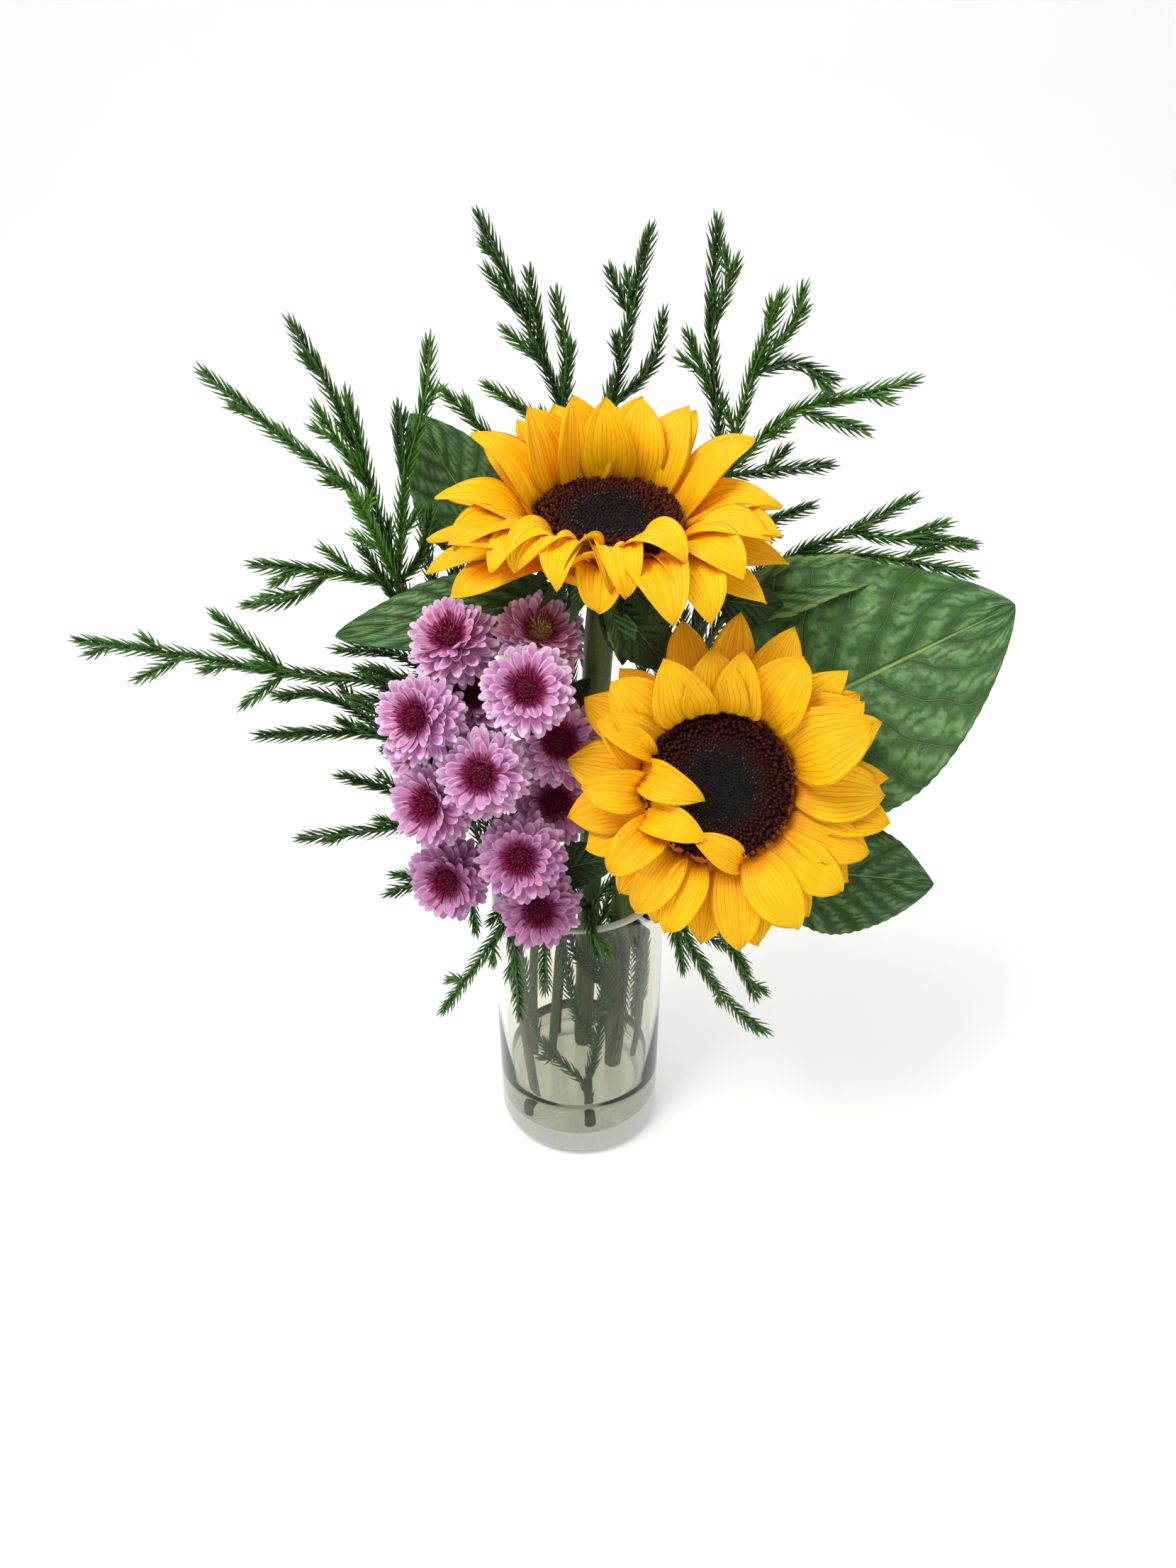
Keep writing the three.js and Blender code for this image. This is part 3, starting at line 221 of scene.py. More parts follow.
# Each spray: the radius of its woody stem, the length of stem without needles, the number of
# the twig that is a fresh tuft, if one is, the stem's route, and the routes of the twigs that
# show and of the ones inside the bouquet
CEDAR_SPRAYS = {
    "cedar_left": dict(
        radius=2.3, bare=70, fresh=6,
        stem=[
            (-22, -21, STEM_FOOT), (-22, -21, 26), (-27, -15, 94), (-30, -8, 150), (-34, -3, 168),
            (-39, 4, 190), (-47, 9, 215), (-58, 13, 245), (-72, 15, 288),
        ],
        twigs=[
            [(-72, 15, 288), (-86, 16, 326), (-112, 19, 347), (-138, 20, 371)],
            [(-72, 15, 288), (-80, 20, 325), (-92, 26, 360), (-105, 30, 386)],
            [(-80, 20, 325), (-86, 25, 358)], [(-80, 20, 325), (-98, 22, 357)],
            [(-72, 15, 288), (-67, 20, 328), (-58, 30, 358), (-55, 33, 379)],
            [(-67, 20, 328), (-68, 26, 356)], [(-72, 15, 288), (-80, 4, 320), (-82, -8, 334)],
            [(-72, 15, 288), (-97, 6, 297), (-125, 0, 303)],
            [(-97, 6, 297), (-114, -2, 289), (-130, -2, 287)],
            [(-58, 13, 245), (-86, 6, 248), (-118, -3, 257), (-156, -7, 267), (-196, -10, 275)],
            [(-118, -3, 257), (-142, -5, 284)], [(-118, -3, 257), (-137, -5, 243)],
            [(-156, -7, 267), (-176, -10, 258)],
            [(-47, 9, 215), (-80, 6, 222), (-105, -8, 231), (-130, -15, 234)],
            [(-80, 6, 222), (-104, 0, 244), (-123, -6, 248)],
            [(-39, 4, 190), (-72, -2, 196), (-99, -15, 214)],
            [(-39, 4, 190), (-66, -6, 184), (-95, -18, 187), (-117, -25, 189)],
            [(-34, -3, 168), (-60, -10, 158), (-83, -24, 158)],
            [(-30, -8, 150), (-40, -9, 157), (-47, -12, 148), (-47, -14, 127)],
            [(-30, -8, 150), (-27, -20, 157), (-30, -33, 153), (-42, -38, 134), (-62, -35, 97)],
            [(-30, -33, 153), (-27, -43, 136), (-26, -45, 104)],
        ],
        inner=[
            [(-34, -3, 168), (-24, 6, 194), (-12, 12, 222)],
            [(-39, 4, 190), (-32, 14, 222), (-28, 18, 256)],
            [(-47, 9, 215), (-40, 18, 244), (-34, 22, 274)],
            [(-58, 13, 245), (-52, 18, 268), (-46, 20, 292)],
            [(-30, -8, 150), (-20, 0, 172), (-6, 4, 196)],
            [(-28, -14, 150), (-29, -8, 125), (-29, -6, 84)],
            [(-39, 4, 190), (-50, -4, 214), (-56, -8, 226)],
            [(-30, -8, 150), (-44, -2, 172), (-52, 6, 196)],
            [(-34, -3, 168), (-38, -14, 184), (-44, -18, 202)],
            [(-58, 13, 245), (-76, 4, 262), (-96, -4, 268)],
            [(-50, 10, 225), (-68, 4, 238), (-94, 0, 243)],
            [(-47, 9, 215), (-62, 2, 236), (-84, -4, 254)],
            [(-58, 13, 245), (-58, 16, 275), (-61, 18, 312)],
            [(-58, 13, 245), (-51, 20, 276), (-50, 22, 306)],
            [(-72, 15, 288), (-62, 14, 300), (-56, 14, 320)],
            [(-66, 14, 268), (-76, 10, 290), (-84, 8, 306)],
            [(-47, 9, 215), (-64, 4, 246), (-88, -2, 258)],
            [(-43, 6, 202), (-62, 0, 222), (-92, -4, 244)],
            [(-43, 6, 202), (-60, 0, 214), (-90, -6, 233)],
            [(-39, 4, 190), (-58, -4, 205), (-80, -8, 222)],
        ],
    ),
    "cedar_back": dict(
        radius=2.1, bare=80, fresh=None,
        stem=[
            (-12, 26, STEM_FOOT), (-12, 26, 26), (-8, 29, 90), (-4, 30, 150), (-4, 42, 220),
            (0, 56, 285), (2, 60, 320),
        ],
        twigs=[
            [(2, 60, 320), (-6, 60, 345), (-13, 60, 363), (-20, 58, 381), (-36, 58, 418)],
            [(-20, 58, 381), (-34, 60, 398)], [(-13, 60, 363), (-18, 56, 398)],
            [(-13, 60, 363), (-28, 62, 375)], [(-6, 60, 345), (-4, 56, 366), (-8, 55, 391)],
            [(2, 60, 320), (-18, 58, 342), (-36, 57, 355)],
            [(0, 56, 285), (-20, 54, 314), (-36, 52, 336), (-53, 52, 354)],
            [(2, 60, 320), (14, 60, 346), (21, 58, 381), (28, 57, 413)],
            [(21, 58, 381), (13, 60, 398)], [(14, 60, 346), (30, 60, 362), (34, 58, 382)],
        ],
        inner=[
            [(-4, 30, 150), (2, 26, 188), (0, 24, 226)],
            [(-4, 42, 220), (-14, 34, 248), (-22, 30, 276)],
            [(-8, 29, 90), (-14, 24, 116), (-18, 20, 146)],
            [(-4, 42, 220), (-7, 30, 252), (-5, 15, 287)],
        ],
    ),
    "cedar_right": dict(
        radius=2.2, bare=70, fresh=None,
        stem=[
            (16, 25, STEM_FOOT), (16, 25, 26), (22, 22, 90), (28, 18, 150), (44, 34, 220),
            (60, 52, 290), (62, 55, 318),
        ],
        twigs=[
            [(62, 55, 318), (57, 57, 345), (53, 57, 376), (53, 58, 416)],
            [(53, 57, 376), (61, 56, 402)], [(57, 57, 345), (44, 60, 374)],
            [(62, 55, 318), (70, 54, 360), (79, 52, 391)], [(70, 54, 360), (88, 50, 386)],
            [(70, 54, 360), (84, 49, 366), (101, 45, 361)],
            [(62, 55, 318), (88, 47, 348), (108, 43, 355), (131, 40, 362)],
            [(88, 47, 348), (114, 38, 343)], [(62, 55, 318), (84, 46, 324), (102, 38, 329)],
            [(60, 52, 290), (80, 40, 304), (95, 32, 314)],
            [(44, 34, 220), (66, 34, 268), (90, 26, 296), (109, 20, 308), (131, 17, 323)],
            [(109, 20, 308), (128, 12, 309), (145, 12, 315)], [(128, 12, 309), (154, 8, 308)],
            [(90, 26, 296), (120, 14, 300), (155, 3, 298)],
        ],
        inner=[
            [(28, 18, 150), (18, 14, 184), (14, 18, 220)],
            [(28, 18, 150), (38, 8, 176), (46, 6, 204)],
            [(44, 34, 220), (34, 26, 246), (26, 20, 276)],
            [(60, 52, 290), (44, 46, 306), (34, 42, 326)],
            [(44, 34, 220), (44, 24, 246), (44, 14, 276)],
            [(36, 26, 185), (28, 14, 222), (27, 8, 259)],
            [(44, 34, 220), (38, 22, 250), (37, 12, 282)],
            [(44, 34, 220), (50, 26, 250), (53, 22, 280)],
        ],
    ),
    "cedar_centre": dict(
        radius=2.4, bare=14, fresh=None,
        stem=[
            (5, -27, STEM_FOOT), (5, -27, 26), (4, -26, 40),
        ],
        twigs=[
            [(4, -26, 38), (9, -19, 62), (12, -14, 94), (9, -24, 136), (5, -31, 156),
             (6, -43, 153), (9, -46, 141)], [(4, -26, 38), (-8, -22, 50), (-18, -21, 65)],
            [(12, -14, 94), (3, -24, 124)],
        ],
        inner=[
            [(5, -31, 156), (14, -30, 168), (24, -26, 176)],
            [(9, -24, 136), (16, -18, 158), (26, -14, 178)],
            [(5, -31, 156), (-4, -30, 164), (-12, -34, 166)],
            [(12, -20, 148), (20, -16, 120), (20, -17, 80), (17, -19, 54)],
            [(26, -14, 150), (28, -10, 118), (27, -9, 70)],
            [(12, -14, 94), (0, -18, 116), (-8, -22, 142)],
            [(-18, -21, 65), (-23, -17, 86), (-25, -14, 108)],
            [(9, -19, 62), (2, -25, 80), (-2, -27, 96), (-6, -26, 126)],
            [(4, -24, 76), (12, -24, 96), (14, -24, 118)],
            [(-6, -26, 150), (-14, -24, 128), (-15, -23, 100)],
        ],
    ),
    "cedar_rim": dict(
        radius=1.9, bare=50, fresh=None,
        stem=[
            (30, 8, STEM_FOOT), (30, 8, 26), (32, 1, 90), (31, -9, 146), (35, -17, 158),
        ],
        twigs=[
            [(35, -17, 158), (43, -29, 150), (60, -32, 114), (84, -31, 80)],
            [(43, -29, 150), (47, -38, 126)], [(43, -29, 150), (66, -28, 130)],
            [(31, -9, 146), (44, -12, 158), (58, -17, 144), (72, -19, 118), (84, -20, 91)],
            [(58, -17, 144), (83, -14, 126)],
        ],
        inner=[
            [(31, -9, 146), (24, -10, 172), (30, -6, 198)],
            [(32, 1, 90), (24, 8, 118), (18, 12, 150)],
        ],
    ),
}

# ---------------------------------------------------------------------------------------
# Sizes and colours that a user would change
# ---------------------------------------------------------------------------------------


def length_setting(name, description, default):
    """A length in metres."""
    return bpy.props.FloatProperty(
        name=name, description=description, default=default, min=0.0001, max=1.0,
        precision=4, unit="LENGTH",
    )


def colour_setting(name, description, red, green, blue):
    """A colour, given as it looks on a screen from 0 to 255."""
    return bpy.props.FloatVectorProperty(
        name=name, description=description, default=screen_colour(red, green, blue)[:3],
        size=3, min=0.0, max=1.0, subtype="COLOR",
    )


def screen_colour(red, green, blue):
    """The linear RGBA of a screen colour: the sRGB curve, c/12.92 or ((c+0.055)/1.055)^2.4."""
    share = np.array([red, green, blue]) / 255
    linear = np.where(share <= 0.04045, share / 12.92, ((share + 0.055) / 1.055) ** 2.4)
    return (*[float(value) for value in linear], 1.0)


class BouquetVaseSettings(bpy.types.PropertyGroup):
    radius: length_setting("Radius", "Outside radius of the vase", 0.040)
    height: length_setting("Height", "Height of the vase", 0.150)
    wall: length_setting("Wall", "Thickness of the glass wall", 0.0035)
    floor: length_setting("Floor", "Thickness of the glass floor", 0.015)
    heel: length_setting("Heel", "Radius of the rounded foot", 0.008)
    water_level: length_setting("Water level", "Height of the water's surface", 0.035)
    glass: colour_setting("Glass", "Tint of the glass", 244, 243, 230)
    water: colour_setting("Water", "Tint of the water", 243, 241, 230)


class BouquetSunflowerSettings(bpy.types.PropertyGroup):
    petal_thickness: length_setting("Petal thickness", "Thickness of a petal", 0.0007)
    leaf_thickness: length_setting("Leaf thickness", "Thickness of a leaf", 0.0007)
    florets: bpy.props.IntProperty(
        name="Florets", description="Number of florets on a disc", default=1250, min=50, max=2000,
    )
    petal: colour_setting("Petal", "Colour of a petal towards its tip", 255, 188, 0)
    petal_root: colour_setting("Petal root", "Colour of a petal at its root", 226, 124, 0)
    disc_centre: colour_setting("Disc centre", "Colour of the disc's middle", 26, 18, 16)
    disc_ring: colour_setting("Disc ring", "Colour of the disc's outer ring", 72, 22, 10)
    leaf: colour_setting("Leaf", "Colour of a leaf", 66, 114, 44)
    leaf_dark: colour_setting("Dark leaf", "Colour of a leaf in the shade", 24, 52, 18)
    vein: colour_setting("Vein", "Colour of a leaf's veins", 138, 164, 88)
    stem: colour_setting("Stem", "Colour of a stem", 104, 122, 44)


class BouquetMumSettings(bpy.types.PropertyGroup):
    petal: colour_setting("Petal", "Colour of a petal", 214, 140, 200)
    petal_root: colour_setting("Petal root", "Colour deep inside the head", 158, 44, 112)
    petal_edge: colour_setting("Petal edge", "Colour of a petal's edge", 248, 226, 248)
    eye: colour_setting("Eye", "Colour of the quills in the middle", 146, 8, 70)
    eye_fresh: colour_setting("Fresh eye", "Colour of the quills of a fresh head", 206, 176, 84)


class BouquetCedarSettings(bpy.types.PropertyGroup):
    needle_length: length_setting("Needle length", "Length of a needle", 0.0088)
    needle_width: length_setting("Needle width", "Width of a needle at its root", 0.00125)
    needle_spacing: length_setting("Needle spacing", "Twig length for each needle", 0.00068)
    needle_angle: bpy.props.FloatProperty(
        name="Needle angle", description="Angle between a needle's root and its twig",
        default=math.radians(30), min=0, max=math.radians(90), subtype="ANGLE",
    )
    # Bright is a painted highlight, mixed into the dark green by each twig's and needle's tint.
    dark: colour_setting("Dark", "Colour of an old needle", 22, 62, 10)
    bright: colour_setting("Bright", "Colour of a young needle", 74, 134, 28)
    fresh: colour_setting("Fresh", "Colour of a fresh tuft", 96, 168, 52)
    bark: colour_setting("Bark", "Colour of the woody stems", 74, 66, 34)


class BouquetStageSettings(bpy.types.PropertyGroup):
    floor: colour_setting("Floor", "Colour of the floor and the backdrop", 250, 250, 248)
    key_power: bpy.props.FloatProperty(
        name="Key light", description="Power of the main light", default=15.0, min=0, unit="POWER",
    )
    fill_power: bpy.props.FloatProperty(
        name="Fill light", description="Power of the fill light and of the back light",
        default=3.0, min=0, unit="POWER",
    )
    lens: bpy.props.FloatProperty(
        name="Lens", description="Focal length of the camera", default=28.46, min=1,
        subtype="DISTANCE_CAMERA", unit="CAMERA",
    )


# ---------------------------------------------------------------------------------------
# Surfaces: every body is a grid of points, rows from its root to its tip by columns round it
# ---------------------------------------------------------------------------------------


def unit(vectors):
    """Each vector divided by its length."""
    return vectors / np.linalg.norm(vectors, axis=-1, keepdims=True)


def triples(first, second, third):
    """Three numbers for every point, filled out to one shape."""
    return np.stack(np.broadcast_arrays(first, second, np.asarray(third, float)), axis=-1)


def rounds(centre, side, other, reach, turn):
    """Circles about centres: centre + reach (side cos(turn) + other sin(turn))."""
    return (
        centre[..., None, :]
        + side[..., None, :] * (reach * np.cos(turn))[..., None]
        + other[..., None, :] * (reach * np.sin(turn))[..., None]
    )


def corners(count):
    """The angles of the corners of an even polygon."""
    return 2 * np.pi * np.arange(count) / count


def lattice(rings, root, tip, marks, finish=0):
    """Closed bodies on a grid, as points, marks, quads, triangles and both kinds' finishes.

    rings is (bodies, rows, columns, 3). Each row is a closed loop that runs right-handed round
    the way from root to tip, so the faces point outwards, and a fan of triangles to one point
    closes each end. marks has the same shape and holds across, along and tint. finish is one
    material's number, or a number for each band between two rows."""
    bodies, rows, columns, _ = rings.shape
    points = np.concatenate(
        [rings.reshape(bodies, -1, 3), root[:, None, :], tip[:, None, :]], axis=1
    )
    end_marks = np.stack([marks[:, 0].mean(axis=1), marks[:, -1].mean(axis=1)], axis=1)
    all_marks = np.concatenate([marks.reshape(bodies, -1, 3), end_marks], axis=1)
    row, column = np.meshgrid(np.arange(rows - 1), np.arange(columns), indexing="ij")
    beside = (column + 1) % columns
    quads = np.stack(
        [row * columns + column, row * columns + beside,
         (row + 1) * columns + beside, (row + 1) * columns + column], axis=-1,
    ).reshape(-1, 4)
    here = np.arange(columns)
    beside = (here + 1) % columns
    last, root_point, tip_point = (rows - 1) * columns, rows * columns, rows * columns + 1
    triangles = np.concatenate([
        np.stack([np.full(columns, root_point), beside, here], axis=-1),
        np.stack([np.full(columns, tip_point), last + here, last + beside], axis=-1),
    ])
    shift = (np.arange(bodies) * (tip_point + 1))[:, None, None]
    quads = (quads[None] + shift).reshape(-1, 4)
    triangles = (triangles[None] + shift).reshape(-1, 3)
    bands = np.broadcast_to(finish, rows - 1)
    quad_finish = np.tile(np.repeat(bands, columns), bodies)
    triangle_finish = np.tile(np.repeat(bands[[0, -1]], columns), bodies)
    return (points.reshape(-1, 3), all_marks.reshape(-1, 3), quads, triangles,
            quad_finish, triangle_finish)


def on_head(parts, head):
    """Parts moved from a head's own frame to its place. +Z becomes the way the head faces and
    +Y points up."""
    centre, normal = head
    facing = unit(np.asarray(normal, float))
    across = unit(np.array([1.0, 0, 0]) - facing * facing[0])
    axes = np.stack([across, np.cross(facing, across), facing], axis=1)
    return [(points @ axes.T + np.asarray(centre), *rest) for points, *rest in parts]


def make_piece(name, parts, finishes, node):
    """Writes parts, in millimetres, into one mesh in metres that stands for a node.

    The marks become the point attribute "place": across from -1 to 1, along from 0 at a
    root to 1 at a tip, and a tint from 0 to 1."""
    points, marks, quads, triangles, quad_finish, triangle_finish = zip(*parts)
    offsets = np.cumsum([0] + [len(one) for one in points])
    points = np.concatenate(points) * MM
    quads = np.concatenate([one + at for one, at in zip(quads, offsets)])
    triangles = np.concatenate([one + at for one, at in zip(triangles, offsets)])
    mesh = bpy.data.meshes.new(name)
    mesh.from_pydata(points.tolist(), [], quads.tolist() + triangles.tolist())
    place = mesh.attributes.new("place", "FLOAT_VECTOR", "POINT")
    place.data.foreach_set("vector", np.concatenate(marks).astype(np.float32).ravel())
    for finish in finishes:
        mesh.materials.append(finish)
    finish = np.concatenate(quad_finish + triangle_finish)
    mesh.polygons.foreach_set("material_index", finish.astype(np.int32))
    mesh.polygons.foreach_set("use_smooth", np.ones(len(mesh.polygons), dtype=bool))
    mesh.update()
    piece = bpy.data.objects.new(name, mesh)
    bpy.context.scene.collection.objects.link(piece)
    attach(piece, "root")
    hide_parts(node)


def route(points, step):
    """A centripetal Catmull-Rom line through points, cut into equal steps of about step.

    Between two points it is a cubic whose end slopes come from the neighbours, weighted by
    the square roots of the distances."""
    points = np.asarray(points, float)
    ends = np.concatenate([
        [2 * points[0] - points[1]], points, [2 * points[-1] - points[-2]],
    ])
    before, start, stop, after = ends[:-3], ends[1:-2], ends[2:-1], ends[3:]
    gap = [np.sqrt(np.linalg.norm(b - a, axis=1, keepdims=True))
           for a, b in ((before, start), (start, stop), (stop, after))]
    slope_start = gap[1] * (
        (start - before) / gap[0] - (stop - before) / (gap[0] + gap[1]) + (stop - start) / gap[1]
    )
    slope_stop = gap[1] * (
        (stop - start) / gap[1] - (after - start) / (gap[1] + gap[2]) + (after - stop) / gap[2]
    )
    share = np.linspace(0, 1, 24, endpoint=False)[None, :, None]
    start, stop = start[:, None], stop[:, None]
    slope_start, slope_stop = slope_start[:, None], slope_stop[:, None]
    line = (
        start + slope_start * share
        + (3 * (stop - start) - 2 * slope_start - slope_stop) * share**2
        + (2 * (start - stop) + slope_start + slope_stop) * share**3
    ).reshape(-1, 3)
    line = np.concatenate([line, points[-1:]])
    run = np.concatenate([[0], np.cumsum(np.linalg.norm(np.diff(line, axis=0), axis=1))])
    steps = max(2, int(round(run[-1] / step)))
    at = np.linspace(0, run[-1], steps + 1)
    return np.stack([np.interp(at, run, line[:, axis]) for axis in range(3)], axis=1)


def line_frames(centres):
    """Tangents of a line, and two directions square to them that don't twist: one lies in the
    plane of the line's main bow, the other is that plane's normal."""
    tangents = unit(np.gradient(centres, axis=0))
    chord = unit(centres[-1] - centres[0])
    bow = centres[len(centres) // 2] - (centres[0] + centres[-1]) / 2
    bow = bow - chord * (bow @ chord)
    if np.linalg.norm(bow) < 0.02:
        bow = np.eye(3)[np.argmin(np.abs(chord))]
    flat = unit(np.cross(chord, bow))
    normals = unit(np.cross(flat, tangents))
    return tangents, normals, np.cross(tangents, normals)


def tube(points, radius, sides=12, step=2.0, ribs=0.0, tint=0.5, finish=0, end_radius=None):
    """A round stem: a circle carried along a route, tapered evenly from radius to end_radius,
    its radius waved by ribs cos(6 angle)."""
    centres = route(points, step)
    tangents, normals, binormals = line_frames(centres)
    along = np.linspace(0, 1, len(centres))
    angle = corners(sides)
    end_radius = radius if end_radius is None else end_radius
    reach = (radius + (end_radius - radius) * along)[:, None] * (1 + ribs * np.cos(6 * angle))
    rings = rounds(centres, normals, binormals, reach, angle)
    marks = triples(np.cos(angle)[None, :], along[:, None], tint)
    root = centres[:1] - tangents[:1] * 0.2 * radius
    tip = centres[-1:] + tangents[-1:] * 0.3 * end_radius
    return lattice(rings[None], root, tip, marks[None], finish)


def lathe(profile, sides, tint=0.5, finish=0, place=None):
    """A turned body about +Z: a profile of (radius, height) that goes up the outside, with
    both ends on the axis. Its marks run with the radius and the profile, or are all place."""
    profile = np.asarray(profile, float)
    angle = corners(sides)
    radius, height = profile[1:-1, :1], profile[1:-1, 1:]
    rings = triples(radius * np.cos(angle), radius * np.sin(angle), height)
    across, along = radius / radius.max() + 0 * angle, np.linspace(0, 1, len(radius))[:, None]
    if place is not None:
        across, along = place[0] + 0 * across, place[1]
    root, tip = ([[0, 0, profile[end, 1]]] for end in (0, -1))
    return lattice(rings[None], np.array(root), np.array(tip),
                   triples(across, along, tint)[None], finish)


def arc(centre, radius, start, stop, steps):
    """Points of an arc about a centre, from one angle to another in degrees."""
    angle = np.radians(np.linspace(start, stop, steps + 1))
    return [
        (centre[0] + radius * c, centre[1] + radius * s)
        for c, s in zip(np.cos(angle), np.sin(angle))
    ]


# ---------------------------------------------------------------------------------------
# Blades: petals, bracts and leaves
# ---------------------------------------------------------------------------------------

SUNFLOWER_PETAL = dict(
    rows=24, across=17, ridge=0.4, ridges=2.2, end_curl=-16, ruffle=0.9,
    outline=lambda s: (0.46 + 0.56 * np.sin(np.pi / 2 * np.minimum(1, s / 0.55)))
    * (1 - s**4.2) ** 1.05,
)
BRACT = dict(
    rows=12, across=7, ridge=0.1, ridges=1.5, end_curl=10, ruffle=0.1,
    outline=lambda s: (0.85 + 0.3 * np.sin(np.pi * np.minimum(1, s * 1.6))) * (1 - s) ** 0.75,
)
MUM_PETAL = dict(
    rows=8, across=5, ridge=0.0, ridges=1, end_curl=20, ruffle=0.0,
    outline=lambda s: (0.42 + 0.58 * np.sin(np.pi / 2 * np.minimum(1, s / 0.65)))
    * np.sqrt(1 - s**6),
)


def around(angle):
    """The way outwards from a head's axis at each angle."""
    return np.stack([np.cos(angle), np.sin(angle), 0 * angle], axis=1)


def loop_across(count):
    """Across from 1 to -1 over the top and back below, and +1 or -1 for the two faces."""
    top = np.linspace(1, -1, count)
    across = np.concatenate([top, -top[1:-1]])
    face = np.concatenate([np.ones(count), -np.ones(count - 2)])
    return across, face


# The steps in which a blade's middle line is added up
FINE_STEPS = 120


def blades(azimuth, length, width, lift, bend, radius, height, form, thickness,
           yaw=0.0, sway=0.0, twist=0.0, cup=0.25, tint=0.5):
    """Blades set round a head's axis, one for each azimuth, that grow outwards turned by yaw.

    The middle line starts at (radius, height) and runs at an angle of lift + bend s +
    end_curl s^4 above the head's plane. The section at s is outline(s) wide, rises to both
    sides by cup times across squared, carries cosine ridges that begin flat at the root,
    ruffles towards its edges and is a thin lens that closes there. Sway moves it sideways by s
    squared and twist turns it by s."""
    azimuth, length, width, lift, bend, radius, height, yaw, sway, twist, cup, tint = [
        np.asarray(value, float)[:, None, None] for value in np.broadcast_arrays(
            azimuth, length, width, lift, bend, radius, height, yaw, sway, twist, cup, tint)
    ]
    rows = form["rows"]
    along = np.append(np.sin(np.pi / 2 * np.arange(rows) / rows) ** 1.15, 1.0)
    fine = np.linspace(0, 1, FINE_STEPS + 1)
    slope = np.radians(lift[..., 0] + bend[..., 0] * fine + form["end_curl"] * fine**4)
    between = (slope[:, 1:] + slope[:, :-1]) / 2
    step = along * FINE_STEPS
    low = np.floor(step).astype(int)
    high, share = np.minimum(low + 1, FINE_STEPS), step - low

    def travelled(part):
        """How far the middle line has come at each row, by its slope's cosine or sine."""
        sums = np.pad(np.cumsum(part(between), axis=1), ((0, 0), (1, 0))) / FINE_STEPS
        return (sums[:, low] * (1 - share) + sums[:, high] * share)[..., None]

    slope = slope[:, np.round(step).astype(int)]
    upward = np.array([0.0, 0.0, 1.0])
    from_axis = around(np.radians(azimuth[:, 0, 0]))[:, None, :]
    outward = around(np.radians(azimuth[:, 0, 0]) + np.radians(yaw[:, 0, 0]))[:, None, :]
    sideways = np.cross(upward, outward)
    middle = (
        from_axis * radius + outward * length * travelled(np.cos)
        + upward * (height + length * travelled(np.sin))
        + sideways * sway * length * (along**2)[None, :, None]
    )
    normal = upward * np.cos(slope)[..., None] - outward * np.sin(slope)[..., None]
    roll = np.radians(twist) * along[None, :, None]
    side = sideways * np.cos(roll) + normal * np.sin(roll)
    normal = normal * np.cos(roll) - sideways * np.sin(roll)
    across, face = loop_across(form["across"])
    s = along[:rows][None, :, None]
    half = width / 2 * form["outline"](s)
    fade = np.clip(4 * s * (1.15 - s), 0, 1)
    surface = (
        cup * half * across**2 * (1 - 0.3 * s)
        + form["ridge"] * np.cos(2 * np.pi * form["ridges"] * across + 9 * tint) * fade
        + form["ruffle"] * across**2 * np.sin(8 * s + 5 * tint * np.pi + 2 * across)
    )
    lens = face * thickness / 2 * np.sqrt(np.maximum(0, 1 - across**2)) * (1 - 0.6 * s)
    rings = (
        middle[:, :rows, None, :]
        + side[:, :rows, None, :] * (half * across)[..., None]
        + normal[:, :rows, None, :] * (surface + lens)[..., None]
    )
    return lattice(rings, middle[:, 0], middle[:, rows], triples(across + 0 * s, s, tint))


